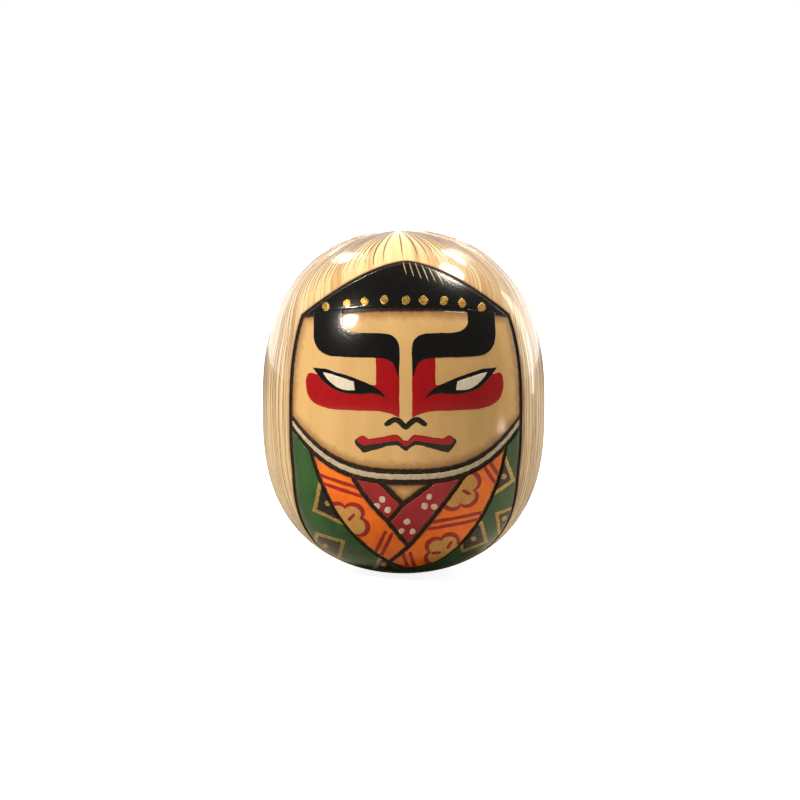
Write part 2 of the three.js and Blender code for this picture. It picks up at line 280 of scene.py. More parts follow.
def between(upper, lower):
    return np.concatenate([upper, lower[::-1]])


def on_face(outline, side=1):
    return np.stack([side * outline[:, 0] + FACE_SHIFT, outline[:, 1]], 1)


def turned_left(along):
    """Unit vectors at right angles to the given ones, on their left."""
    along = unit(along)
    return np.stack([-along[:, 1], along[:, 0]], 1)


def brush_line(spine, width, taper):
    """The outline of a brush line along a spine, narrowing at its ends by the share `taper`."""
    spine = resampled(np.asarray(spine, float), width / 3, closed=False)
    side = turned_left(np.gradient(spine, axis=0))
    t = np.linspace(0, 1, len(spine))
    half = width / 2 * (1 - taper + taper * np.sqrt(np.clip(np.sin(np.pi * t), 0.02, 1)))
    # Round ends: the width closes over the last half width of the line.
    run = np.concatenate([[0], np.cumsum(np.linalg.norm(np.diff(spine, axis=0), axis=1))])
    end = np.minimum(run, run[-1] - run) / (width / 2)
    half *= np.sqrt(np.clip(1 - (1 - np.clip(end, 0, 1)) ** 2, 0.01, 1))
    return np.concatenate([spine + side * half[:, None], (spine - side * half[:, None])[::-1]])


def disc(x, z, diameter, steps=28):
    angle = np.linspace(0, 2 * np.pi, steps, endpoint=False)
    return np.stack([x + np.cos(angle) * diameter / 2, z + np.sin(angle) * diameter / 2], 1)


def blossom(x, z, radius, turn, lobes=5, steps=120):
    """A plum blossom: round lobes that meet in notches."""
    angle = np.linspace(0, 2 * np.pi, steps, endpoint=False)
    lobe = np.abs(np.sin(lobes * (angle - turn) / 2)) ** 0.6
    reach = radius * (0.7 + 0.3 * lobe)
    return np.stack([x + reach * np.cos(angle), z + reach * np.sin(angle)], 1)


def diamond(x, z, width, height, lean):
    """A lozenge that leans by the angle `lean`."""
    corners = np.array([[width / 2, 0], [0, height / 2], [-width / 2, 0], [0, -height / 2]])
    turn = np.array([[math.cos(lean), math.sin(lean)], [-math.sin(lean), math.cos(lean)]])
    return corners @ turn + np.array([x, z])


# ------------------------------------------------------------------ outlines in the chart


def resampled(loop, step, closed=True):
    """The same line with points every `step`, its corners kept."""
    loop = np.asarray(loop, float)
    ends = np.roll(loop, -1, axis=0) if closed else loop[1:]
    starts = loop if closed else loop[:-1]
    length = np.linalg.norm(ends - starts, axis=1)
    pieces = np.where(length < 1e-6, 0, np.maximum(1, np.ceil(length / step))).astype(int)
    segment = np.repeat(np.arange(len(starts)), pieces)
    place = np.arange(len(segment)) - np.repeat(np.cumsum(pieces) - pieces, pieces)
    share = place / pieces[segment]
    points = starts[segment] + (ends - starts)[segment] * share[:, None]
    return points if closed else np.concatenate([points, loop[-1:]])


def is_inside(points, loop):
    """Which points lie inside a closed line, by counting crossings."""
    order = np.argsort(points[:, 1], kind="stable")
    x, y = points[order, 0], points[order, 1]
    after = np.roll(loop, -1, axis=0)
    first = np.searchsorted(y, np.minimum(loop[:, 1], after[:, 1]))
    last = np.searchsorted(y, np.maximum(loop[:, 1], after[:, 1]))
    odd = np.zeros(len(points), bool)
    for (ax, ay), (bx, by), i, j in zip(loop, after, first, last):
        if i < j:
            odd[i:j] ^= x[i:j] < (bx - ax) * (y[i:j] - ay) / (by - ay) + ax
    inside = np.zeros(len(points), bool)
    inside[order] = odd
    return inside


def distances(points, samples):
    """Each point's distance to the nearest sample, in the chart or in space."""
    pad = (0.0,) * (3 - points.shape[1])
    tree = kdtree.KDTree(len(samples))
    for i, sample in enumerate(samples):
        tree.insert((*sample, *pad), i)
    tree.balance()
    return np.array([tree.find((*point, *pad))[2] for point in points])


def sideways(loop):
    """Unit vectors across a closed line at each of its points, on the line's left."""
    return turned_left(np.roll(loop, -1, axis=0) - np.roll(loop, 1, axis=0))


def moved_in(loop, distance, step=0.15):
    """A closed chart line moved inwards by a distance."""
    dense = resampled(loop, step)
    x, y = dense[:, 0], dense[:, 1]
    area = np.sum(x * np.roll(y, -1) - np.roll(x, -1) * y)
    moved = dense + sideways(dense) * np.sign(area) * distance
    gap = distances(moved, resampled(dense, 0.03))
    return moved[gap > distance * 0.96]


# The lengths of the waves in a line drawn by hand.
WAVES = (9.0, 5.0, 2.6, 1.3)


def hand_drawn(loop, amount, seed, step=0.3):
    """A closed chart line with the small, smooth unevenness of a hand."""
    dense = resampled(loop, step)
    run = np.arange(len(dense)) / len(dense) * 2 * np.pi
    length = len(dense) * step
    rng = random.Random(seed)
    offset = np.zeros(len(dense))
    for wave in WAVES:
        count = max(1, round(length / wave))
        offset += math.sqrt(wave / WAVES[0]) * np.sin(count * run + rng.uniform(0, 2 * math.pi))
    return dense + sideways(dense) * (offset * amount / 2)[:, None]


# ------------------------------------------------------------------ mesh making

# The distance to its border that a piece's points carry, for the scorching, is capped at this.
EDGE_LIMIT = 6.0

# How far apart the points of a zone or a film are, inside it and along its border.
ZONE_GRID = 0.45
ZONE_STEP = 0.22
FILM_GRID = 0.5
FILM_STEP = 0.16
# The height of a row of even triangles, as a share of their side.
ROW_SHARE = 0.866
# How uneven the hand makes a zone's border.
ZONE_WOBBLE = 0.07


def add_piece(name, points, faces, material, cad_nodes=(), edge=None, sharp=50):
    """A piece from points in millimetres, riding on the doll's one body."""
    mesh = bpy.data.meshes.new(name)
    mesh.from_pydata((np.asarray(points) * MM).tolist(), [], [list(map(int, f)) for f in faces])
    if edge is not None:
        attribute = mesh.attributes.new("edge", "FLOAT", "POINT")
        attribute.data.foreach_set("value", np.clip(edge, 0, EDGE_LIMIT).astype(np.float32))
    mesh.validate()
    mesh.shade_smooth()
    mesh.set_sharp_from_angle(angle=math.radians(sharp))
    mesh.materials.append(material)
    piece = bpy.data.objects.new(name, mesh)
    bpy.context.scene.collection.objects.link(piece)
    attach(piece, "root")
    if cad_nodes:
        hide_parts(*cad_nodes)
    return piece


class Bunch:
    """Small meshes gathered into one piece."""

    def __init__(self):
        self.points, self.faces, self.edges, self.count = [], [], [], 0

    def add(self, points, faces):
        self.points.append(points)
        self.faces += [tuple(corner + self.count for corner in face) for face in faces]
        self.count += len(points)

    def add_shell(self, points, faces, border, distance, top, bottom):
        """A surface on the egg, closed into a shell between two heights over it. `distance` is
        each point's distance to the surface's border."""
        count = len(points)
        underside = [tuple(corner + count for corner in reversed(face)) for face in faces]
        walls = [(j, i, i + count, j + count) for i, j in border]
        both = np.concatenate([lifted(points, top), lifted(points, bottom)])
        self.add(both, [*faces, *underside, *walls])
        self.edges += [distance, np.zeros(count)]

    def finish(self, name, material, cad_nodes=()):
        if self.points:
            edge = np.concatenate(self.edges) if self.edges else None
            add_piece(name, np.concatenate(self.points), self.faces, material, cad_nodes, edge)


def sunk(distance, rim, drop):
    """How far a surface has sunk near its border, where it rounds off over `rim`."""
    away = 1 - np.clip(distance / rim, 0, 1)
    return drop * (1 - np.sqrt(1 - away ** 2))


def open_border(faces):
    """The directed edges that only one face has."""
    directed = {(int(f[k]), int(f[(k + 1) % len(f)])) for f in faces for k in range(len(f))}
    return sorted((i, j) for i, j in directed if (j, i) not in directed)


def border_distance(points, border, count):
    """Each point's distance to the border, measured to `count` samples on each border edge."""
    share = np.linspace(0, 1, count)[:, None]
    samples = np.concatenate([points[i] + (points[j] - points[i]) * share for i, j in border])
    return distances(points, samples)


def triangle_grid(low, high, grid):
    """Points in rows that fill a rectangle with even triangles."""
    spots = []
    for i, y in enumerate(np.arange(low[1], high[1], grid * ROW_SHARE)):
        xs = np.arange(low[0] + (i % 2) * grid / 2, high[0], grid)
        spots.append(np.stack([xs, np.full(len(xs), y)], 1))
    return np.concatenate(spots)


def fill(keep, grid, rims, step):
    """Triangles of the region inside every line of `keep`, `grid` apart, with extra rows of points
    at the distances `rims` from its border. Returns the chart points, the triangles, the border's
    edges and the points' distances to the border."""
    loops = [resampled(loop, step) for loop in keep]
    fixed = np.concatenate(loops)
    links = []
    for loop in loops:
        first, count = len(links), len(loop)
        links += [(first + i, first + (i + 1) % count) for i in range(count)]
    dense = np.concatenate([resampled(loop, 0.05) for loop in loops])

    def belongs(points):
        return np.all([is_inside(points, loop) for loop in loops], axis=0)

    inner = triangle_grid(fixed.min(0), fixed.max(0), grid)
    inner = inner[belongs(inner)]
    inner = inner[distances(inner, dense) > rims[-1] + grid * 0.45]
    rings = []
    for rim in rims:
        for loop in loops:
            ring = moved_in(loop, rim, step)
            if len(ring):
                ring = ring[belongs(ring)]
            if len(ring):
                rings.append(ring[distances(ring, dense) > rim * 0.9])
    points = np.concatenate([fixed, *rings, inner])
    made = delaunay_2d_cdt([Vector(p) for p in points], links, [], 0, 1e-5)
    chart = np.array([tuple(v) for v in made[0]])
    triangles = np.array([face for face in made[2] if len(face) == 3])
    triangles = triangles[belongs(chart[triangles].mean(1))]
    used = np.unique(triangles)
    renumber = np.full(len(chart), -1)
    renumber[used] = np.arange(len(used))
    chart, triangles = chart[used], renumber[triangles]
    a, b, c = (chart[triangles[:, k]] for k in range(3))
    turned = (b[:, 0] - a[:, 0]) * (c[:, 1] - a[:, 1]) - (b[:, 1] - a[:, 1]) * (c[:, 0] - a[:, 0])
    triangles[turned < 0] = triangles[turned < 0][:, ::-1]
    border = open_border(triangles)
    return chart, triangles, border, border_distance(chart, border, 6)


def zone(name, outline, material, cad_nodes, seed, groove=GROOVE):
    """A painted or bare area, level with the turned surface, with a burnt groove round it."""
    chart_line = to_chart(resampled(outline, 0.4))
    line = hand_drawn(moved_in(chart_line, groove / 2), ZONE_WOBBLE, seed)
    rims = (ZONE_RIM * 0.45, ZONE_RIM)
    chart, triangles, border, distance = fill([line], ZONE_GRID, rims, ZONE_STEP)
    slab = Bunch()
    slab.add_shell(from_chart(chart), triangles, border, distance,
                   -sunk(distance, ZONE_RIM, ZONE_DROP), -SHELL_DEPTH)
    slab.finish(name, material, cad_nodes)
    return line


def film(name, outlines, material, cad_nodes, layer, seed, rough=0.05, clip=None):
    """Paint on top of a zone. `outlines` are front-elevation lines, joined into one piece,
    `seed` and `rough` are their unevenness, and `clip` is the chart line that they may not pass."""
    films = Bunch()
    top = layer * FILM
    for k, outline in enumerate(outlines):
        line = hand_drawn(to_chart(resampled(outline, 0.3)), rough, seed + 31 * k, step=0.2)
        if clip is not None and not is_inside(line, clip).any():
            continue
        keep = [line] if clip is None else [line, clip]
        chart, triangles, border, distance = fill(keep, FILM_GRID, (0.06, FILM_RIM), FILM_STEP)
        films.add_shell(from_chart(chart), triangles, border, distance,
                        top - sunk(distance, FILM_RIM, 0.6 * FILM), top - 1.6 * FILM)
    films.finish(name, material, cad_nodes)


# ------------------------------------------------------------------ materials


class Nodes:
    """A node tree, with short ways to add nodes and to join them."""

    def __init__(self, owner):
        owner.use_nodes = True
        self.tree = owner.node_tree

    def node(self, kind, **settings):
        made = self.tree.nodes.new(kind)
        for key, value in settings.items():
            setattr(made, key, value)
        return made

    def join(self, output, target):
        self.tree.links.new(output, target)

    def feed(self, sockets, values):
        """Sets each socket to its number or colour, or joins an output to it."""
        for socket, value in zip(sockets, values):
            if isinstance(value, (int, float)):
                socket.default_value = value
            elif isinstance(value, tuple):
                socket.default_value = (*value, 1.0)
            else:
                self.join(value, socket)

    def feed_named(self, node, values):
        self.feed([node.inputs[key] for key in values], values.values())

    def ramp(self, value, low, high, start=0.0, end=1.0, interpolation="SMOOTHSTEP"):
        made = self.node("ShaderNodeMapRange", clamp=True, interpolation_type=interpolation)
        self.feed_named(made, {"Value": value, "From Min": low, "From Max": high,
                               "To Min": start, "To Max": end})
        return made.outputs["Result"]

    def mix_shaders(self, share, first, second):
        made = self.node("ShaderNodeMixShader")
        self.feed(made.inputs, (share, first, second))
        return made.outputs[0]


class Recipe(Nodes):
    """A lacquered material and the few node chains that the paints share."""

    def __init__(self, name, slot, roughness=0.4, coat=1.0, coat_roughness=0.05, metallic=0.0):
        self.material = bpy.data.materials.new(name)
        super().__init__(self.material)
        self.shader = self.tree.nodes["Principled BSDF"]
        # Paint under lacquer hardly reflects by itself: the lacquer does.
        self.feed_named(self.shader, {
            "Roughness": roughness, "Metallic": metallic,
            "Coat Weight": coat, "Coat Roughness": coat_roughness,
            "Specular IOR Level": 0.12 if coat else 0.5, "Coat IOR": 1.38,
        })
        self.place = self.node("ShaderNodeTexCoord").outputs["Object"]

    def math(self, operation, *values):
        made = self.node("ShaderNodeMath", operation=operation)
        self.feed(made.inputs, values)
        return made.outputs[0]

    def noise(self, scale, detail=3.0, stretch=(1, 1, 1), vector=None, offset=0.0):
        """Noise with `scale` features per millimetre before the stretch."""
        mapping = self.node("ShaderNodeMapping")
        mapping.inputs["Scale"].default_value = [s / MM for s in stretch]
        mapping.inputs["Location"].default_value = (offset, offset * 0.7, offset * 0.3)
        self.join(vector or self.place, mapping.inputs["Vector"])
        texture = self.node("ShaderNodeTexNoise")
        texture.inputs["Scale"].default_value = scale
        texture.inputs["Detail"].default_value = detail
        self.join(mapping.outputs[0], texture.inputs["Vector"])
        return texture.outputs["Fac"]

    def mix(self, share, first, second):
        made = self.node("ShaderNodeMix", data_type="RGBA")
        self.feed((made.inputs[0], made.inputs[6], made.inputs[7]), (share, first, second))
        return made.outputs[2]

    def edge(self):
        return self.node("ShaderNodeAttribute", attribute_name="edge").outputs["Fac"]

    def finished(self, colour, height, distance, strength=0.5, coat=False):
        """The material with its colour and a bump `distance` millimetres high, which the lacquer
        follows too if `coat` is true."""
        bump = self.node("ShaderNodeBump")
        self.feed_named(bump, {"Strength": strength, "Distance": distance * MM, "Height": height})
        self.feed_named(self.shader, {"Base Color": colour, "Normal": bump.outputs[0]})
        if coat:
            self.feed_named(self.shader, {"Coat Normal": bump.outputs[0]})
        return self.material


def darker(colour, share):
    return tuple(c * share for c in colour)


def wood_colour(recipe, pale, tan):
    """Turned wood: fine upright grain with broad, soft figure and short dark pores."""
    figure = recipe.noise(0.16, 4, (1, 1, 0.22))
    grain = recipe.noise(2.2, 5, (1, 1, 0.05), offset=4)
    pores = recipe.noise(3.2, 2, (1, 1, 0.16), offset=9)
    base = recipe.mix(recipe.ramp(figure, 0.3, 0.72), pale, tan)
    base = recipe.mix(recipe.ramp(grain, 0.45, 0.8, 0, 0.4), base, tan)
    return recipe.mix(recipe.ramp(pores, 0.68, 0.8, 0, 0.3), base, darker(tan, 0.5)), grain


def scorched(recipe, base, reach=3.2, depth=0.8):
    """Brown scorching that fades away from the burnt outlines."""
    uneven = recipe.noise(0.55, 3, offset=2)
    spread = recipe.math("MULTIPLY_ADD", uneven, reach, reach * 0.35)
    near = recipe.math("DIVIDE", recipe.edge(), spread)
    toast = recipe.mix(recipe.ramp(near, 0.0, 1.0, depth, 0), base, (0.27, 0.11, 0.03))
    return recipe.mix(recipe.ramp(near, 0.0, 0.2, 0.95, 0), toast, (0.025, 0.013, 0.008))


def bare_wood(name, slot, burnt):
    """Lacquered wood with no paint, scorched beside its burnt outline or not."""
    recipe = Recipe(name, slot, roughness=0.42, coat_roughness=0.12)
    base, grain = wood_colour(recipe, (0.72, 0.47, 0.2), (0.65, 0.4, 0.16))
    return recipe.finished(scorched(recipe, base) if burnt else base, grain, 0.02)


def stain(name, slot, colour, deep, burnt=0.7, wear=0.22):
    """A see-through wood stain: the grain shows, brush passes vary it, and it deepens at edges."""
    recipe = Recipe(name, slot, coat_roughness=0.07)
    passes = recipe.noise(0.3, 3, (1, 1, 0.35), offset=6)
    grain = recipe.noise(2.4, 5, (1, 1, 0.06), offset=1)
    base = recipe.mix(recipe.ramp(passes, 0.3, 0.7), colour, deep)
    base = recipe.mix(recipe.ramp(grain, 0.5, 0.85, 0, wear), base, darker(deep, 0.45))
    return recipe.finished(scorched(recipe, base, reach=0.7, depth=burnt), grain, 0.02)


def ink(name, slot):
    """Thick black paint, here and there browner, pebbled so that its highlight breaks up."""
    recipe = Recipe(name, slot, roughness=0.24, coat_roughness=0.13)
    pebble = recipe.noise(1.8, 3)
    brown = recipe.ramp(recipe.noise(0.5, 2, offset=3), 0.45, 0.8, 0, 0.6)
    black = recipe.mix(brown, (0.003, 0.0027, 0.002), (0.009, 0.007, 0.004))
    return recipe.finished(black, pebble, 0.035, 0.9, coat=True)


def paint(name, slot, colour, deep, speckle=0.1):
    """Opaque brush paint with faint brush marks and dark specks."""
    recipe = Recipe(name, slot, coat_roughness=0.08)
    marks = recipe.noise(1.1, 4, (1, 1, 0.3), offset=5)
    specks = recipe.ramp(recipe.noise(5.0, 2, offset=8), 0.6, 0.8, 0, speckle)
    base = recipe.mix(recipe.ramp(marks, 0.3, 0.75), colour, deep)
    return recipe.finished(recipe.mix(specks, base, darker(deep, 0.4)), marks, 0.02)


def gold(name, slot, colour, flake, grit_share):
    """Gold paint: bright flakes in an ochre ground, with darker grit between."""
    recipe = Recipe(name, slot, roughness=0.38, coat_roughness=0.1, metallic=0.55)
    grit = recipe.noise(2.4, 3)
    bright = tuple(min(1, c * 1.7) for c in colour)
    base = recipe.mix(recipe.ramp(grit, 0.36, 0.6), darker(colour, grit_share), colour)
    flakes = recipe.ramp(grit, 0.58, 0.7, 0, flake)
    return recipe.finished(recipe.mix(flakes, base, bright), grit, 0.05, 0.9)


def charred(name, slot):
    """The floor of a burnt groove: glossy charcoal with brown patches."""
    recipe = Recipe(name, slot, roughness=0.6, coat=0.3, coat_roughness=0.3)
    char = recipe.noise(1.6, 4)
    brown = recipe.ramp(char, 0.4, 0.75)
    colour = recipe.mix(brown, (0.012, 0.007, 0.005), (0.06, 0.028, 0.012))
    return recipe.finished(colour, char, 0.06, 0.8)


# The strokes of the mane spring from a whorl on the crown, a little in front of the pole. The
# whorl's shift fades out WHORL_FADE below the pole. Above FALL_START the strokes fan sideways,
# by up to FALL.
WHORL = (-1.5, -3.0)
WHORL_FADE = 16.0
FALL = 0.42
FALL_START = 58.0


def mane_material(name, slot):
    """White and tan brush strokes that run down from the whorl, with fine brown hairs."""
    recipe = Recipe(name, slot, coat_roughness=0.06)
    split = recipe.node("ShaderNodeSeparateXYZ")
    recipe.join(recipe.place, split.inputs[0])
    x, y, z = split.outputs
    near_top = recipe.ramp(z, (HEIGHT - WHORL_FADE) * MM, HEIGHT * MM)
    across = recipe.math("SUBTRACT", x, recipe.math("MULTIPLY", near_top, WHORL[0] * MM))
    ahead = recipe.math("SUBTRACT", y, recipe.math("MULTIPLY", near_top, WHORL[1] * MM))
    sway = recipe.noise(0.06, 2, offset=12)
    angle = recipe.math("ARCTAN2", across, recipe.math("MULTIPLY", ahead, -1))
    angle = recipe.math("ADD", angle, recipe.math("MULTIPLY", sway, 0.04))
    climb = recipe.ramp(z, FALL_START * MM, HEIGHT * MM, 0, FALL)
    swing = recipe.math("SINE", recipe.math("MULTIPLY", angle, 2))
    angle = recipe.math("SUBTRACT", angle, recipe.math("MULTIPLY", climb, swing))
    # The strokes are noise on a cylinder as wide as the girth, drawn out along its height.
    wrap = recipe.node("ShaderNodeCombineXYZ")
    radius = GIRTH_RADIUS * MM
    sides = [recipe.math("MULTIPLY", recipe.math(part, angle), radius) for part in ("SINE", "COSINE")]
    recipe.feed(wrap.inputs, (*sides, z))
    cylinder = wrap.outputs[0]
    locks = recipe.noise(0.42, 3, (1, 1, 0.012), cylinder)
    strands = recipe.noise(1.1, 3, (1, 1, 0.008), cylinder, offset=5)
    hairs = recipe.noise(2.2, 2, (1, 1, 0.008), cylinder, offset=11)
    base = recipe.mix(recipe.ramp(locks, 0.4, 0.62), (0.78, 0.59, 0.3), (0.56, 0.33, 0.14))
    base = recipe.mix(recipe.ramp(strands, 0.5, 0.66, 0, 0.75), base, (0.84, 0.7, 0.39))
    # The sides and back are a pinker white.
    low = recipe.ramp(z, (HEIGHT - 12) * MM, (HEIGHT - 35) * MM, 0, 0.4)
    base = recipe.mix(low, base, (0.76, 0.6, 0.42))
    # The sides are drawn denser and greyer than the crown.
    side = recipe.ramp(z, (HEIGHT - 8) * MM, (HEIGHT - 30) * MM, 0.1, 0.9)
    line = recipe.math("MULTIPLY", recipe.ramp(hairs, 0.52, 0.64), side)
    base = recipe.mix(line, base, (0.21, 0.13, 0.08))
    return recipe.finished(scorched(recipe, base, reach=0.9, depth=0.7), strands, 0.02)


def iron(name, slot):
    """Rough cast iron, bare of lacquer."""
    recipe = Recipe(name, slot, roughness=0.6, coat=0.0, metallic=0.9)
    cast = recipe.noise(0.9, 5)
    grey = recipe.mix(cast, (0.12, 0.12, 0.125), (0.3, 0.3, 0.31))
    return recipe.finished(grey, cast, 0.1, 0.7)


WOOD = bare_wood("lacquered_wood", "wood", burnt=True)
BASE_WOOD = bare_wood("base_wood", "wood", burnt=False)
CHAR = charred("burnt_groove", "wood")
MANE = mane_material("mane_strokes", "mane_white")
INK = ink("black_ink", "ink_black")
FACE_RED = paint("face_red", "face_red", (0.4, 0.001, 0.005), (0.32, 0.001, 0.004))
EYE_WHITE = paint("eye_white", "eye_white", (0.8, 0.74, 0.64), (0.7, 0.62, 0.5))
DOT_WHITE = paint("dot_white", "eye_white", (0.72, 0.6, 0.52), (0.55, 0.42, 0.36))
SILVER = paint("collar_silver", "collar_silver", (0.58, 0.5, 0.38), (0.45, 0.36, 0.24), speckle=0.35)
GOLD = gold("gold_dots", "gold_paint", (0.56, 0.33, 0.08), 0.8, 0.35)
TAN_GOLD = gold("tan_gold", "gold_paint", (0.56, 0.36, 0.1), 0.4, 0.45)
BLOSSOM_TAN = paint("blossom_tan", "robe_orange", (0.64, 0.34, 0.09), (0.52, 0.26, 0.06))
PATTERN_RED = paint("pattern_red", "face_red", (0.4, 0.012, 0.012), (0.28, 0.008, 0.008))
CRIMSON = stain("crimson", "crimson", (0.38, 0.008, 0.02), (0.3, 0.005, 0.013), burnt=0.25)
ORANGE = stain("orange", "robe_orange", (0.98, 0.21, 0.004), (0.9, 0.15, 0.003), wear=0.14)
GREEN = stain("green", "robe_green", (0.008, 0.098, 0.012), (0.005, 0.058, 0.007), burnt=0.1)
HAIR_BROWN = paint("hair_brown", "mane_white", (0.2, 0.11, 0.045), (0.13, 0.065, 0.025))
HAIR_GREY = paint("hair_grey", "mane_white", (0.3, 0.19, 0.1), (0.22, 0.13, 0.07))
STRAND_GOLD = paint("strand_gold", "gold_paint", (0.42, 0.36, 0.17), (0.3, 0.24, 0.1))

# ------------------------------------------------------------------ turned wooden pieces


TURNS = 240


def rings_round_axis(section):
    """Points round the axis for each (radius, z) of a section, ring after ring."""
    angle = np.linspace(0, 2 * np.pi, TURNS, endpoint=False)
    return np.concatenate([
        np.stack([radius * np.cos(angle), radius * np.sin(angle), np.full(TURNS, z)], 1)
        for radius, z in section
    ])


def belt(low, high):
    """The faces between two rings, given the number of each ring's first point."""
    afters = [(k + 1) % TURNS for k in range(TURNS)]
    return [(low + k, low + after, high + after, high + k) for k, after in enumerate(afters)]


def lathe(name, profile, material, cad_nodes):
    """A closed solid turned from (radius, z) points that start and end on the axis."""
    rings = len(profile) - 2
    poles = [[[0, 0, profile[end][1]]] for end in (0, -1)]
    points = np.concatenate([poles[0], rings_round_axis(profile[1:-1]), poles[1]])
    top = 1 + (rings - 1) * TURNS
    faces = [(0, 1 + (k + 1) % TURNS, 1 + k) for k in range(TURNS)]
    for low in range(1, top, TURNS):
        faces += belt(low, low + TURNS)
    faces += [(top + k, top + (k + 1) % TURNS, len(points) - 1) for k in range(TURNS)]
    add_piece(name, points, faces, material, cad_nodes, sharp=35)


# The stretch below the pole where rings crowd together, so that the pole comes out round.
POLE_DEPTH = 4.0


def make_core():
    """The turned egg under the painting. Only its burnt grooves show."""
    profile = [(0, PLUG_LENGTH), (BORE_RADIUS, PLUG_LENGTH)]
    for radius in np.linspace(BORE_RADIUS, BORE_RADIUS + BARE_RING, 5):
        profile.append((radius, base_height(radius) + GROOVE_DEPTH))
    for z in [*np.linspace(RING_HEIGHT + 0.4, 6, 14), *np.linspace(7, HEIGHT - POLE_DEPTH, 70)]:
        profile.append((float(egg_radius(z)) - GROOVE_DEPTH, z))
    for share in np.linspace(0.9, 0.1, 9):
        z = HEIGHT - POLE_DEPTH * share ** 2
        profile.append((float(egg_radius(z)) - GROOVE_DEPTH, z - GROOVE_DEPTH))
    profile.append((0, HEIGHT - GROOVE_DEPTH))
    lathe("burnt_core", profile, CHAR, ["body"])


PLUG_GAP = 0.25
RING_STEP = 0.8
RING_HALF = 0.12


def make_plug():
    """The plug, with its flat foot and the faint rings of its turning."""
    radius = BORE_RADIUS - PLUG_GAP
    top = PLUG_LENGTH - 0.2
    profile = [(0, 0.06), (1.2, 0.06), (1.6, 0.0)]
    for ring in np.arange(2.4, FOOT_RADIUS - 0.4, RING_STEP):
        profile += [(ring - RING_HALF, 0.0), (ring, 0.05), (ring + RING_HALF, 0.0)]
    for share in np.linspace(0, 1, 6):
        r = FOOT_RADIUS + (radius - 0.3 - FOOT_RADIUS) * share
        profile.append((r, float(base_height(r)) if share else 0.0))
    profile += [(radius, float(base_height(radius)) + PLUG_GAP), (radius, top), (0, top)]
    lathe("foot_plug", profile, BASE_WOOD, ["base_plug"])


def make_bare_ring():
    """The ring of bare wood between the plug and the painting."""
    section = []
    for radius in np.linspace(BORE_RADIUS, BORE_RADIUS + BARE_RING - 0.2, 5):
        section.append((radius, float(base_height(radius))))
    section += [(r, z + GROOVE_DEPTH - 0.02) for r, z in (section[-1], section[0])]
    faces = []
    for here in range(len(section)):
        faces += belt(here * TURNS, (here + 1) % len(section) * TURNS)
    add_piece("bare_ring", rings_round_axis(section), faces, BASE_WOOD, sharp=35)


# ------------------------------------------------------------------ the mane

# Degrees between the mane's columns, and millimetres between its rows.
COLUMN_STEP = 1.1
ROW_STEP = 0.9
# The radius where the profile's points change from even steps outwards to even steps upwards.
LOW_RADIUS = 30.0


def profile_table():
    """Runs along the surface from the bare ring to the pole, and the height at each."""
    z = np.concatenate([
        base_height(np.linspace(BORE_RADIUS + BARE_RING, LOW_RADIUS, 200)),
        np.linspace(base_height(LOW_RADIUS), HEIGHT - POLE_DEPTH, 400)[1:],
        HEIGHT - POLE_DEPTH * np.linspace(1, 0, 300)[1:] ** 2,
    ])
    run = np.concatenate([[0], np.cumsum(np.hypot(np.diff(egg_radius(z)), np.diff(z)))])
    return run, z


RUN, RUN_HEIGHT = profile_table()


def height_at(run):
    return np.interp(run, RUN, RUN_HEIGHT)


def run_at(z):
    return np.interp(z, RUN_HEIGHT, RUN)


def around(azimuth, z):
    """Points on the egg at an azimuth from straight ahead, towards +X, and a height."""
    radius = egg_radius(z)
    return np.stack([radius * np.sin(azimuth), -radius * np.cos(azimuth), z + 0 * radius], -1)


def panel_angle(z):
    """The azimuth of the panel's side: it widens below FLARE_TOP."""
    return PANEL_ANGLE + FLARE * (np.clip(FLARE_TOP - z, 0, None) / FLARE_TOP) ** FLARE_POWER


def panel_azimuth(z):
    """Where the mane starts beside the panel, half a groove outside the panel's line."""
    return panel_angle(z) + SIDE_GROOVE / 2 / np.maximum(egg_radius(z), 3)


def forelock_height(azimuth):
    """The height of the forelock's upper line at an azimuth, half a groove higher."""
    reach = float(egg_radius(TEMPLE)) * math.sin(PANEL_ANGLE)
    low, high = np.full_like(azimuth, TEMPLE - 2), np.full_like(azimuth, HEIGHT - 1)
    for _ in range(40):
        z = (low + high) / 2
        share = np.clip(np.abs(egg_radius(z) * np.sin(azimuth)) / reach, 0, 1)
        under = z < FORELOCK_TOP - (FORELOCK_TOP - TEMPLE) * share ** FORELOCK_POWER
        low, high = np.where(under, z, low), np.where(under, high, z)
    return low + HAIRLINE / 2


def eased(count):
    """Shares from 0 to 1 with fine steps at the start, for a rounded rim."""
    rim = [0, 0.12 / count, 0.3 / count, 0.6 / count]
    return np.concatenate([rim, np.linspace(1 / count, 1, count)])


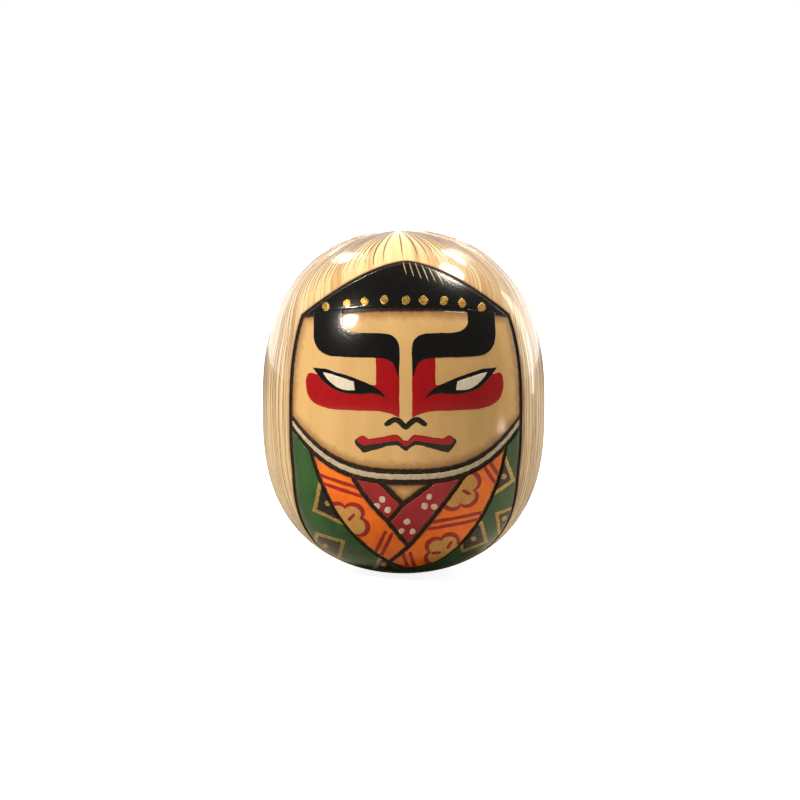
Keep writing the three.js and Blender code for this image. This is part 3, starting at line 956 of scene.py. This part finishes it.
def make_mane():
    """The mane wraps the sides, back and crown as one closed shell."""
    temple_run = float(run_at(forelock_height(np.array([PANEL_ANGLE]))[0]))
    lower = RUN[0] + (temple_run - RUN[0]) * eased(int(temple_run / ROW_STEP))
    count = int((RUN[-1] - temple_run) / ROW_STEP)
    upper_share = np.unique(eased(count))
    upper = temple_run + (RUN[-1] - temple_run) * upper_share[1:]
    back_z = height_at(np.concatenate([lower, upper]))
    columns = int((360 - 2 * PANEL_DEGREES) / COLUMN_STEP)
    half = eased(columns // 2) / 2
    share = np.unique(np.round(np.concatenate([half, 1 - half]), 9))
    start = panel_azimuth(back_z)
    azimuth = start[:, None] + (2 * np.pi - 2 * start[:, None]) * share[None, :]
    back = around(azimuth, np.repeat(back_z[:, None], len(share), 1))

    front_count = int(2 * PANEL_DEGREES / COLUMN_STEP)
    front_share = np.linspace(-1, 1, front_count + 1)
    front_start = run_at(forelock_height(front_share * PANEL_ANGLE))
    front_start[0] = front_start[-1] = temple_run
    runs = front_start[None, :] + (RUN[-1] - front_start[None, :]) * upper_share[:, None]
    front_z = height_at(runs)
    front = around(front_share[None, :] * panel_azimuth(front_z), front_z)

    points = np.concatenate([back.reshape(-1, 3), front.reshape(-1, 3)])
    faces = squares(0, *back.shape[:2]) + squares(back.shape[0] * back.shape[1], *front.shape[:2])
    points, faces = welded(points, faces)
    border = open_border(faces)
    distance = border_distance(points, border, 8)
    shell = Bunch()
    shell.add_shell(points, faces, border, distance,
                    -sunk(distance, MANE_RIM, MANE_DROP), -SHELL_DEPTH)
    shell.finish("mane", MANE, ["hair_coat"])


def squares(first, rows, columns):
    """The faces of a grid of points that starts at the point number `first`."""
    corners = [first + i * columns + j for i in range(rows - 1) for j in range(columns - 1)]
    return [(a, a + 1, a + columns + 1, a + columns) for a in corners]


def welded(points, faces, near=1e-4):
    """The same faces with points that coincide made one, and faces with no area left out."""
    keys = {}
    index = []
    kept = []
    for point in points:
        key = tuple(np.round(point / near).astype(int))
        if key not in keys:
            keys[key] = len(kept)
            kept.append(point)
        index.append(keys[key])
    clean = []
    for face in faces:
        corners = []
        for corner in (index[c] for c in face):
            if corner not in corners:
                corners.append(corner)
        if len(corners) > 2:
            clean.append(tuple(corners))
    return np.array(kept), clean


def eased_step(share):
    """A share from 0 to 1 that starts and ends gently."""
    share = np.clip(share, 0, 1)
    return share * share * (3 - 2 * share)


def fall(z):
    """How far a height is up the crown, from 0 where the hair hangs straight to 1 at the pole."""
    return eased_step((z - FALL_START) / (HEIGHT - FALL_START))


def hair_azimuth(root, z):
    """Where a hair that hangs at the azimuth `root` lies at a height: it fans out sideways from
    the whorl and then falls, so on the crown it lies further round."""
    share = FALL * fall(z)
    azimuth = root + share * np.sin(2 * root)
    # Newton's method, which settles well within these steps.
    for _ in range(12):
        miss = azimuth - share * np.sin(2 * azimuth) - root
        azimuth = azimuth - miss / (1 - 2 * share * np.cos(2 * azimuth))
    return azimuth


def strand_line(root, from_run, to_run, sway, phase, steps):
    """A hair's line down from the whorl, on the egg, with a slow sway."""
    run = np.linspace(from_run, to_run, steps)
    z = height_at(run)
    turn = hair_azimuth(root, z) + sway * np.sin((run - from_run) * 0.16 + phase)
    points = around(turn, z)
    near_top = eased_step((z - (HEIGHT - WHORL_FADE)) / WHORL_FADE)
    points[:, 0] += WHORL[0] * near_top
    points[:, 1] += WHORL[1] * near_top
    radius = np.hypot(points[:, 0], points[:, 1])
    top = z > GIRTH_HEIGHT
    along = np.clip(1 - (radius / GIRTH_RADIUS) ** WAIST_POWER, 0, 1) ** (1 / CROWN_POWER)
    points[:, 2] = np.where(top, GIRTH_HEIGHT + CROWN_DEPTH * along, points[:, 2])
    return points


def clear_of_panel(points):
    """The part of a hair's line that lies above the forelock, or beside the panel."""
    azimuth = np.abs(np.arctan2(points[:, 0], -points[:, 1]))
    limit = forelock_height(np.minimum(azimuth, PANEL_ANGLE)) + 0.3
    return points[(azimuth > panel_angle(points[:, 2]) + 0.04) | (points[:, 2] > limit)]


def add_hair(bunch, points, width, lift):
    """A fine painted hair: a closed gable along a line, pointed at both ends."""
    normal = outward(points)
    side = np.cross(normal, unit(np.gradient(points, axis=0)))
    t = np.linspace(0, 1, len(points))
    half = width / 2 * np.clip(np.sin(np.pi * t ** 0.8), 0.05, 1)[:, None] ** 0.6
    rings = np.stack([
        points - side * half - normal * 0.01,
        points + normal * lift,
        points + side * half - normal * 0.01,
    ], 1).reshape(-1, 3)
    faces = []
    end = len(rings) - 3
    for a in range(0, end, 3):
        for k, after in ((0, 1), (1, 2), (2, 0)):
            faces.append((a + k, a + after, a + 3 + after, a + 3 + k))
    bunch.add(rings, [*faces, (2, 1, 0), (end, end + 1, end + 2)])


HAIR_COUNT = 240
HAIR_LIFT = 0.035


def make_hairs():
    """Hairs drawn over the mane: broader, darker ones down the crown to the forelock, and finer,
    paler ones, twice as dense, round the sides and back."""
    rng = random.Random(7)
    front, sides = Bunch(), Bunch()
    for k in range(HAIR_COUNT):
        root = 2 * np.pi * (k + rng.uniform(-0.3, 0.3)) / HAIR_COUNT - np.pi
        in_front = abs(root) < PANEL_ANGLE + 0.02
        if in_front and k % 2:
            continue
        start = RUN[-1] - (rng.uniform(0.4, 4) if in_front else rng.uniform(5, 26))
        end = RUN[0] + rng.uniform(2, 40)
        if in_front:
            border = forelock_height(np.array([min(abs(root), PANEL_ANGLE)]))[0]
            end = float(run_at(border)) + rng.uniform(0.4, 3)
        steps = max(10, int((start - end) / 1.2))
        sway = rng.uniform(0.0, 0.015)
        line = clear_of_panel(strand_line(root, start, end, sway, rng.uniform(0, 6), steps))
        if len(line) > 4:
            width = rng.uniform(0.5, 0.75) if in_front else rng.uniform(0.3, 0.52)
            add_hair(front if in_front else sides, line, width, HAIR_LIFT)
    front.finish("crown_hairs", HAIR_BROWN)
    sides.finish("side_hairs", HAIR_GREY)


# ------------------------------------------------------------------ the panel's zones


def panel_edge(z):
    return egg_radius(z) * np.sin(panel_angle(z))


TEMPLE_REACH = float(panel_edge(TEMPLE))
JAW_REACH = float(panel_edge(JAW))
FORELOCK_TOP_LINE = bow(TEMPLE_REACH, FORELOCK_TOP, TEMPLE, FORELOCK_POWER)
FORELOCK_FOOT_LINE = bow(TEMPLE_REACH, FORELOCK_FOOT, TEMPLE, FORELOCK_FOOT_POWER)
CHIN_LINE = bow(JAW_REACH, CHIN, JAW, CHIN_POWER)
COLLAR_LINE = bow(JAW_REACH, CHIN - COLLAR_WIDTH, JAW - COLLAR_WIDTH, CHIN_POWER)


def panel_side(top, bottom, steps=40):
    """The panel's right side, from a height down to another."""
    z = np.linspace(top, bottom, steps)
    return np.stack([panel_edge(z), z], 1)


def other_side(line):
    return line[::-1] * np.array([-1, 1])


def face_outline():
    side = panel_side(TEMPLE, JAW)[1:-1]
    return np.concatenate([FORELOCK_FOOT_LINE, side, CHIN_LINE[::-1], other_side(side)])


# The robe's landmarks: it laps right over left as seen, below a V neck. The reaches are where its
# borders meet the collar band. On the right as seen, the outer two lie RIGHT_SHIFT further out.
NECK_REACH = 6.5
UNDER_REACH = 13.0
LAPEL_REACH = 23.0
RIGHT_SHIFT = 1.0
NECK_POINT = (-1.0, 21.0)
CROSSING = (-4.5, 16.5)
LAP_POINT = (0.5, 9.8)
HEM_POINT = (-4.0, 5.0)


def collar_run(start, end, steps=14):
    """Points along the collar band's lower line from one x to another."""
    x = np.linspace(start, end, steps)
    rise = (JAW - CHIN) * (np.abs(x) / JAW_REACH) ** CHIN_POWER
    return np.stack([x, CHIN - COLLAR_WIDTH + rise], 1)


def left_lap():
    """Where the left lapel meets the left under-collar, from the band down to the crossing."""
    start = collar_run(-UNDER_REACH, -UNDER_REACH, 1)[0]
    return Pen(*start).quad(-UNDER_REACH + 3, CHIN - 7, *CROSSING).outline()


def right_lap():
    """Where the right lapel meets the right under-collar, from the band down to the lap."""
    start = collar_run(UNDER_REACH + RIGHT_SHIFT, UNDER_REACH + RIGHT_SHIFT, 1)[0]
    return Pen(*start).quad(UNDER_REACH - 4, CHIN - 8, *LAP_POINT).outline()


def under_collar(side):
    if side < 0:
        top = collar_run(-NECK_REACH, -UNDER_REACH)
        return np.concatenate([[CROSSING, NECK_POINT], top[:-1], left_lap()])
    top = collar_run(UNDER_REACH + RIGHT_SHIFT, NECK_REACH)
    return np.concatenate([[CROSSING], right_lap()[::-1], top[1:], [NECK_POINT]])


def lapel_border(side):
    """The lapel's outer line, from the hem up to the collar band."""
    reach = LAPEL_REACH + (RIGHT_SHIFT if side > 0 else 0)
    end = collar_run(side * reach, side * reach, 1)[0]
    pen = Pen(*HEM_POINT)
    if side < 0:
        return pen.quad(5 - LAPEL_REACH, CHIN - 15, *end).outline()
    pen.line(0, 2.8)
    return pen.cubic(LAPEL_REACH / 2, 2.5, LAPEL_REACH - 1, CHIN - 10, *end).outline()


def lapel(side):
    border = lapel_border(side)
    if side < 0:
        top = collar_run(-LAPEL_REACH, -UNDER_REACH)
        return np.concatenate([border, top[1:-1], left_lap(), [LAP_POINT]])
    top = collar_run(LAPEL_REACH + RIGHT_SHIFT, UNDER_REACH + RIGHT_SHIFT)
    return np.concatenate([border, top[1:-1], right_lap()])


def robe(side):
    """The green cloth between the lapel, the mane and the ring of bare wood."""
    border = lapel_border(side)
    reach = LAPEL_REACH + (RIGHT_SHIFT if side > 0 else 0)
    top = collar_run(side * reach, side * JAW_REACH)[1:-1]
    outer = panel_side(JAW - COLLAR_WIDTH, RING_HEIGHT, 60) * np.array([side, 1])
    ring = BORE_RADIUS + BARE_RING
    split = math.asin(HEM_POINT[0] / ring)
    angle = np.linspace(side * float(panel_angle(RING_HEIGHT)), split, 20)[1:]
    base = np.stack([ring * np.sin(angle), np.full(len(angle), RING_HEIGHT)], 1)
    return np.concatenate([border, top, outer, base])


SIDES = (("left", -1), ("right", 1))


def make_zones():
    """Every area that a burnt line bounds. Returns the chart lines that patterns stay inside."""
    zone("face_wood", face_outline(), WOOD, [], 1)
    zone("forelock", between(FORELOCK_TOP_LINE, FORELOCK_FOOT_LINE[1:-1]), INK, ["crown_band"], 2,
         groove=HAIRLINE)
    zone("collar", between(CHIN_LINE, COLLAR_LINE), SILVER, ["collar_band"], 3,
         groove=COLLAR_GROOVE)
    neck = np.concatenate([collar_run(-NECK_REACH, NECK_REACH), [NECK_POINT]])
    zone("throat", neck, WOOD, [], 4)
    lines = {}
    cloths = (("under_collar", under_collar, CRIMSON, 5), ("lapel", lapel, ORANGE, 8),
              ("robe", robe, GREEN, 11))
    for word, side in SIDES:
        for cloth, outline, material, seed in cloths:
            node = f"{cloth}_{word}"
            lines[node] = zone(node + "_cloth", outline(side), material, [node], seed + side)
    return lines


# ------------------------------------------------------------------ the face


def brow_half():
    """The brow hangs from the forelock and hooks down beside the nose."""
    return rounded([
        (NOSE_SIDE + 0.2, BROW_TIP + 0.3, 0.2),
        (NOSE_SIDE - 0.3, BROW_TOP + 0.2, 4.5),
        (BROW_REACH - 6.8, BROW_TOP + 0.2, 4.5),
        (BROW_REACH - 6.8, FORELOCK_FOOT - 0.5, 0.2),
        (BROW_REACH, FORELOCK_FOOT - 1.6, 0.2),
        (BROW_REACH, BROW_FOOT, 5.5),
        (NOSE_SIDE + 1.6, BROW_FOOT, 4),
    ])


def cheek_half():
    """The red runs up beside the nose to the brow, and out under the eye to the cheek."""
    return rounded([
        (NOSE_SIDE, CHEEK_TIP, 0.3),
        (NOSE_SIDE, BROW_FOOT, 1),
        (COLUMN_SIDE, BROW_FOOT + 0.5, 0.5),
        (COLUMN_SIDE, (EYE_OUTER + EYE_INNER) / 2, 0.5),
        (EYE_REACH - 1, EYE_OUTER - 1, 0.5),
        (CHEEK_REACH, EYE_OUTER - 0.3, 3.0),
        (CHEEK_REACH, CHEEK_FOOT + 2.5, 4.0),
        (CHEEK_REACH - 4, CHEEK_FOOT, 4.0),
        (NOSE_SIDE + 3.5, CHEEK_FOOT, 2.5),
    ])


def eye_half():
    """The eye's black shape: a blunt corner high outside, and a tail down beside the nose."""
    corner = (EYE_REACH + 0.4, EYE_OUTER + 0.6)
    pen = Pen(*corner).line(EYE_REACH - 3, EYE_OUTER + 0.5)
    pen.quad(EYE_REACH - 9.5, EYE_OUTER - 1, EYE_START + 3, EYE_INNER + 2.8)
    pen.quad(EYE_START + 1.2, EYE_INNER + 2, EYE_START, EYE_INNER - 0.3)
    pen.quad(EYE_START + 1.6, EYE_INNER + 1.2, EYE_START + 4, EYE_INNER + 1.1)
    pen.quad(EYE_START + 10, EYE_INNER + 0.2, EYE_REACH - 3.5, EYE_INNER + 2.4)
    return pen.quad(EYE_REACH - 1.5, EYE_INNER + 3.8, *corner).outline()[:-1]


WHITE_START = EYE_START + 7.7
WHITE_END = EYE_REACH - 2.0


def eye_white_half():
    """The white beside the pupil, a leaning quadrilateral with a long outer corner."""
    top = EYE_OUTER - 0.3
    pen = Pen(WHITE_END, top).quad(WHITE_END - 3, top - 0.5, WHITE_START, top - 1.9)
    pen.line(WHITE_START - 0.3, top - 3.9).quad(WHITE_START + 3, top - 4.2, WHITE_END - 2.8, top - 3)
    return pen.quad(WHITE_END - 1, top - 1.8, WHITE_END, top).outline()[:-1]


def nose_spine():
    """Two arches over the nostrils that meet in a sharp dip."""
    across = np.linspace(-1, 1, 61)
    arch = 1.7 * (1 - np.abs(np.sin(np.pi * across)) ** 1.3)
    return np.stack([across * NOSE_REACH, NOSE_LEVEL - arch + 0.9 * across ** 8], 1)


def lips():
    """The red upper lip, a cupid's bow with a knob at each corner, over the heavy black line of
    the mouth, which wraps round the knobs and drips in the middle."""
    reach, level = MOUTH_REACH, LIP_LEVEL

    def both(half):
        return rounded(half + [(-x, z, cut) for x, z, cut in half[::-1]])

    red = both([
        (0.5, level + 0.1, 0.3),
        (1.8, level + 1.5, 0.8),
        (3.2, level + 1.4, 0.8),
        (reach - 3.2, level + 0.3, 0.6),
        (reach - 2.0, level + 1.2, 0.5),
        (reach - 0.8, level + 0.9, 0.5),
        (reach - 0.5, level - 0.4, 0.6),
        (reach - 2.0, level - 1.3, 0.5),
        (3.4, level - 0.1, 0.6),
        (1.9, level + 0.0, 0.4),
        (0.5, level - 1.2, 0.3),
    ])
    black = both([
        (0.6, level - 0.4, 0.3),
        (2.0, level + 0.6, 0.5),
        (reach - 3.0, level - 0.3, 0.5),
        (reach - 0.3, level + 0.5, 0.5),
        (reach + 0.1, level - 0.6, 0.5),
        (reach - 1.9, level - 3.1, 0.5),
        (reach - 5.0, level - 2.1, 0.8),
        (4.0, level - 1.2, 0.8),
        (2.0, level - 1.0, 0.4),
        (0.8, level - 1.8, 0.3),
        (0.3, level - 2.4, 0.2),
    ])
    return red, black


NOSE_BRUSH = 1.35


def make_face():
    """The painted features. Each film's outline has its own seed for its unevenness."""
    for word, side in SIDES:
        seed = 150 + 50 * side
        film(f"cheek_{word}_paint", [on_face(cheek_half(), side)], FACE_RED,
             [f"cheek_red_{word}"], 1, seed + 1)
        film(f"brow_{word}_paint", [on_face(brow_half(), side)], INK,
             [f"brow_{word}"], 2, seed + 2)
        film(f"eye_{word}_paint", [on_face(eye_half(), side)], INK,
             [f"eye_line_{word}"], 2, seed + 3, rough=0.03)
        film(f"eye_white_{word}_paint", [on_face(eye_white_half(), side)], EYE_WHITE,
             [f"eye_white_{word}"], 3, seed + 4, rough=0.03)
    nose = brush_line(nose_spine(), NOSE_BRUSH, 0.1)
    film("nose_paint", [on_face(nose)], INK, ["nose_line"], 1, 301, rough=0.04)
    red, black = lips()
    film("lip_black_paint", [on_face(black)], INK, ["lip_black"], 1, 302, rough=0.09)
    film("lip_red_paint", [on_face(red)], FACE_RED, ["lip_red"], 2, 303, rough=0.07)


DOT_COUNT = 9
DOT_DIAMETER = 1.9
DOT_SPREAD = 18.5


def make_dots():
    """The row of gold dots along the forelock's foot, sinking towards its ends."""
    rng = random.Random(3)
    for i in range(DOT_COUNT):
        across = 2 * i / (DOT_COUNT - 1) - 1
        x = FACE_SHIFT + across * DOT_SPREAD + rng.uniform(-0.4, 0.4)
        z = FORELOCK_FOOT + DOT_DIAMETER - 2 * across ** 2 + rng.uniform(-0.15, 0.15)
        size = DOT_DIAMETER * rng.uniform(0.92, 1.12)
        node = f"gold_dot_{i + 1}"
        film(node + "_paint", [disc(x, z, size)], GOLD, [node], 2, 400 + i, rough=0.2)


STRAND_COUNT = 7
STRAND_WIDTH = 0.34


def make_loose_strands():
    """Pale hairs that fall over the forelock, right of its middle, longest in the middle."""
    rng = random.Random(5)
    strands = Bunch()
    for k in range(STRAND_COUNT):
        azimuth = math.radians(-1.8 + 3.8 * k)
        top = float(run_at(forelock_height(np.array([azimuth]))[0])) - 0.4
        middle = math.sin(math.pi * (k + 1) / (STRAND_COUNT + 1))
        length = 3.8 + 1.2 * middle + rng.uniform(-0.4, 0.4)
        sweep = np.linspace(0, 0.035, 12)
        line = around(azimuth + sweep, height_at(np.linspace(top, top - length, 12)))
        add_hair(strands, line, STRAND_WIDTH, 0.03)
    strands.finish("loose_strands", STRAND_GOLD)


# ------------------------------------------------------------------ the robe's patterns


# These motifs are placed one by one: x and z are a motif's centre on the front elevation.
TRIOS = {"left": [(-5.8, 20.7)], "right": [(5.4, 21.3), (0.1, 15.0)]}
TRIO_REACH = 1.5


def make_under_collar_dots(lines):
    """White dots in threes on the crimson under-collars."""
    rng = random.Random(9)
    for word, spots in TRIOS.items():
        discs = []
        for x, z in spots:
            for turn in (90, 205, 330):
                angle = math.radians(turn + rng.uniform(-12, 12))
                place = (x + TRIO_REACH * math.cos(angle), z + TRIO_REACH * math.sin(angle))
                discs.append(disc(*place, rng.uniform(1.4, 1.75)))
        film(f"collar_dots_{word}", discs, DOT_WHITE, [], 1, 500 + len(discs),
             rough=0.2, clip=lines["under_collar_" + word])


# Pairs of stripes: the first one's start and end, and the step from it to the second.
STRIPES = {
    "left": [((-21, 27.5), (-9.5, 24.3), (-0.4, -1.7)), ((-5, 14.2), (-8.0, 6.5), (1.6, -0.5))],
    "right": [((17.5, 31), (21.5, 25), (1.7, 0.5)), ((5, 16.2), (18.5, 18), (-0.3, -1.7)),
              ((-0.8, 8), (0.6, 2.8), (1.7, 0.2))],
}
STRIPE_WIDTH = 0.9


def make_stripes(lines):
    """Pairs of red lines across the lapels."""
    for word, bands in STRIPES.items():
        strokes = []
        for start, end, step in bands:
            for k in range(2):
                spine = np.array([start, end]) + k * np.array(step)
                strokes.append(brush_line(spine, STRIPE_WIDTH, 0.1))
        film(f"stripes_{word}", strokes, PATTERN_RED, [], 1, 520 + len(strokes),
             rough=0.06, clip=lines["lapel_" + word])


# Each blossom's lapel, number there, x, z, radius and turn in radians.
BLOSSOMS = [
    ("left", 1, -14.6, 15.8, 6.0, 0.35),
    ("right", 1, 12.2, 24.6, 6.0, 1.1),
    ("right", 2, 9.4, 8.0, 5.6, 0.6),
]
BLOSSOM_LINE = 1.15
STAMEN_WIDTH = 0.85


def make_blossoms(lines):
    """Plum blossoms, tan with a red outline and three red stamens, cut off by the lapels."""
    for word, number, x, z, radius, turn in BLOSSOMS:
        clip = lines["lapel_" + word]
        name = f"blossom_{word}_{number}"
        seed = 540 + int(10 * radius) + number
        petals = blossom(x, z, radius - BLOSSOM_LINE, turn)
        film(name + "_outline", [blossom(x, z, radius, turn)], PATTERN_RED, [], 2, seed, clip=clip)
        film(name + "_petals", [petals], BLOSSOM_TAN, [], 3, seed, clip=clip)
        stamens = []
        for k in range(3):
            angle = turn + 0.5 + k * 2.1
            way = np.array([math.cos(angle), math.sin(angle)])
            stamens.append(brush_line([way * 0.9 + (x, z), way * 3.4 + (x, z)], STAMEN_WIDTH, 0.4))
        film(name + "_stamens", stamens, PATTERN_RED, [], 4, seed + 1, clip=clip)


# Each lozenge's half of the robe, x, z, width, height and lean in radians, and then where its dot
# sits from its centre.
LOZENGES = [
    ("left", -17.8, 20.6, 11, 13, 0.5, -1.0, -0.2),
    ("left", -19.0, 7.8, 10.5, 10.5, 0.6, -0.4, 0.6),
    ("left", -4.8, 3.6, 7.5, 7.5, 0.5, -0.6, 0.5),
    ("right", 21.6, 26.8, 10.5, 12, -0.35, 1.8, -0.2),
    ("right", 25.6, 14.6, 10, 10, -0.6, -1.6, 0.9),
    ("right", 16.0, 11.4, 10, 10, -0.5, 0.4, -0.5),
]
LOZENGE_LINE = 1.3
LOZENGE_DOT = 1.4


def make_diamonds(lines):
    """Black lozenges with a gold outline and a gold dot, half under the lapels."""
    for number, (word, x, z, width, height, lean, dot_x, dot_z) in enumerate(LOZENGES, 1):
        clip = lines["robe_" + word]
        name = f"lozenge_{word}_{number}"
        field = diamond(x, z, width - 2 * LOZENGE_LINE, height - 2 * LOZENGE_LINE, lean)
        dot = disc(x + dot_x, z + dot_z, LOZENGE_DOT)
        film(name + "_outline", [diamond(x, z, width, height, lean)], TAN_GOLD, [], 1,
             570 + number, clip=clip)
        film(name + "_field", [field], INK, [], 2, 580 + number, clip=clip)
        film(name + "_dot", [dot], TAN_GOLD, [], 3, 590 + number, rough=0.1, clip=clip)


# ------------------------------------------------------------------ stage, light and camera


FLOOR_GAP = 0.02
FLOOR_REACH = 3.0


def seen_by_camera(nodes, seen, unseen):
    """A shader that the camera sees as `seen`, and that lights the doll as `unseen`."""
    rays = nodes.node("ShaderNodeLightPath")
    return nodes.mix_shaders(rays.outputs["Is Camera Ray"], unseen, seen)


def make_floor():
    """A pale floor, clear from beneath. It reaches the camera as white, and lights the doll only
    a little."""
    mesh = bpy.data.meshes.new("floor")
    corners = [(x * FLOOR_REACH, y * FLOOR_REACH, 0) for x, y in ((-1, -1), (1, -1), (1, 1), (-1, 1))]
    mesh.from_pydata(corners, [], [(0, 1, 2, 3)])
    material = bpy.data.materials.new("white_floor")
    nodes = Nodes(material)
    white = nodes.tree.nodes["Principled BSDF"]
    nodes.feed_named(white, {
        "Base Color": (0.92, 0.92, 0.92), "Roughness": 0.8, "Specular IOR Level": 0.0,
        "Emission Color": (1.0, 1.0, 1.0), "Emission Strength": 0.88,
    })
    dim = nodes.node("ShaderNodeBsdfDiffuse")
    nodes.feed_named(dim, {"Color": (0.46, 0.42, 0.35)})
    above = seen_by_camera(nodes, white.outputs[0], dim.outputs[0])
    beneath = nodes.node("ShaderNodeNewGeometry").outputs["Backfacing"]
    clear = nodes.node("ShaderNodeBsdfTransparent").outputs[0]
    surface = nodes.mix_shaders(beneath, above, clear)
    nodes.join(surface, nodes.tree.nodes["Material Output"].inputs["Surface"])
    mesh.materials.append(material)
    floor = bpy.data.objects.new("floor", mesh)
    floor.location.z = -FLOOR_GAP * MM
    bpy.context.scene.collection.objects.link(floor)


def make_world():
    """A white surround, dimmer on the viewer's side, so that paint keeps its depth in front and
    the lacquer catches bright rims at the sides. The camera itself sees plain white."""
    world = bpy.data.worlds.new("studio")
    nodes = Nodes(world)
    split = nodes.node("ShaderNodeSeparateXYZ")
    nodes.join(nodes.node("ShaderNodeTexCoord").outputs["Generated"], split.inputs[0])
    # Behind the doll it is brightest near the table, so that the rims glow at the sides.
    behind = nodes.ramp(split.outputs["Z"], 0.1, 0.5, 2.1, 0.9, "LINEAR")
    surround = nodes.tree.nodes["Background"]
    nodes.feed_named(surround, {
        "Color": nodes.ramp(split.outputs["Y"], 0.1, 0.85, 0.17, behind), "Strength": 1.0,
    })
    backdrop = nodes.node("ShaderNodeBackground")
    nodes.feed_named(backdrop, {"Color": (1.0, 1.0, 1.0)})
    mixed = seen_by_camera(nodes, backdrop.outputs[0], surround.outputs[0])
    nodes.join(mixed, nodes.tree.nodes["World Output"].inputs["Surface"])
    bpy.context.scene.world = world


def place_in_scene(thing, place, way):
    """Puts a light or the camera at a place, looking along `way`."""
    thing.location = place
    thing.rotation_mode = "QUATERNION"
    thing.rotation_quaternion = way.to_track_quat("-Z", "Y")
    bpy.context.scene.collection.objects.link(thing)


# Each area lamp's direction from the doll, distance and size in metres, and power in watts.
LAMPS = [
    ("key", (-0.66, -0.46, 0.6), 0.6, (0.11, 0.1), 3.4),
    ("overhead_right", (0.46, 0.12, 0.88), 0.6, (0.2, 0.16), 2.9),
    ("behind_right", (0.38, 0.5, 0.78), 0.6, (0.16, 0.06), 1.1),
    ("behind_left", (-0.38, 0.55, 0.74), 0.6, (0.1, 0.08), 0.8),
    ("rim_right", (0.85, 0.6, 0.2), 0.6, (0.12, 0.4), 0.6),
    ("side_right", (0.975, -0.22, -0.13), 0.2, (0.032, 0.007), 0.006),
]
WARM = (1, 0.92, 0.78)
MIDDLE = Vector((0, 0, HEIGHT / 2 * MM))


def make_light():
    """Softboxes: a key at the upper left, one overhead, two behind, a rim light at the right, and
    a small, low one whose glint the right cheek shows."""
    for name, way, distance, size, power in LAMPS:
        data = bpy.data.lights.new(name, "AREA")
        data.shape = "ELLIPSE"
        data.size, data.size_y = size
        data.energy = power
        data.color = WARM
        place = MIDDLE + Vector(way).normalized() * distance
        place_in_scene(bpy.data.objects.new(name, data), place, MIDDLE - place)


CAMERA_DISTANCE = 0.6
CAMERA_YAW = math.radians(-1.4)
CAMERA_ELEVATION = math.radians(6)
CAMERA_SHIFT = -0.9
FRAME_WIDTH = 200.0
SENSOR = 36


def make_camera():
    """A long lens a little above the doll, seeing a frame FRAME_WIDTH wide at the doll."""
    data = bpy.data.cameras.new("camera")
    data.sensor_width = SENSOR
    data.lens = SENSOR * CAMERA_DISTANCE / (FRAME_WIDTH * MM)
    camera = bpy.data.objects.new("camera", data)
    flat, rise = math.cos(CAMERA_ELEVATION), math.sin(CAMERA_ELEVATION)
    back = Vector((math.sin(CAMERA_YAW) * flat, -math.cos(CAMERA_YAW) * flat, rise))
    target = MIDDLE + Vector((CAMERA_SHIFT * MM, 0, 0))
    place_in_scene(camera, target + back * CAMERA_DISTANCE, -back)
    bpy.context.scene.camera = camera


# ------------------------------------------------------------------ assembly

bpy.context.scene.view_settings.view_transform = "Standard"
make_camera()
make_world()
make_light()
make_floor()
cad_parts["ballast"].data.materials.clear()
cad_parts["ballast"].data.materials.append(iron("ballast_iron", "ballast_iron"))
make_core()
make_plug()
make_bare_ring()
make_mane()
make_hairs()
zone_lines = make_zones()
make_face()
make_dots()
make_loose_strands()
make_under_collar_dots(zone_lines)
make_stripes(zone_lines)
make_blossoms(zone_lines)
make_diamonds(zone_lines)
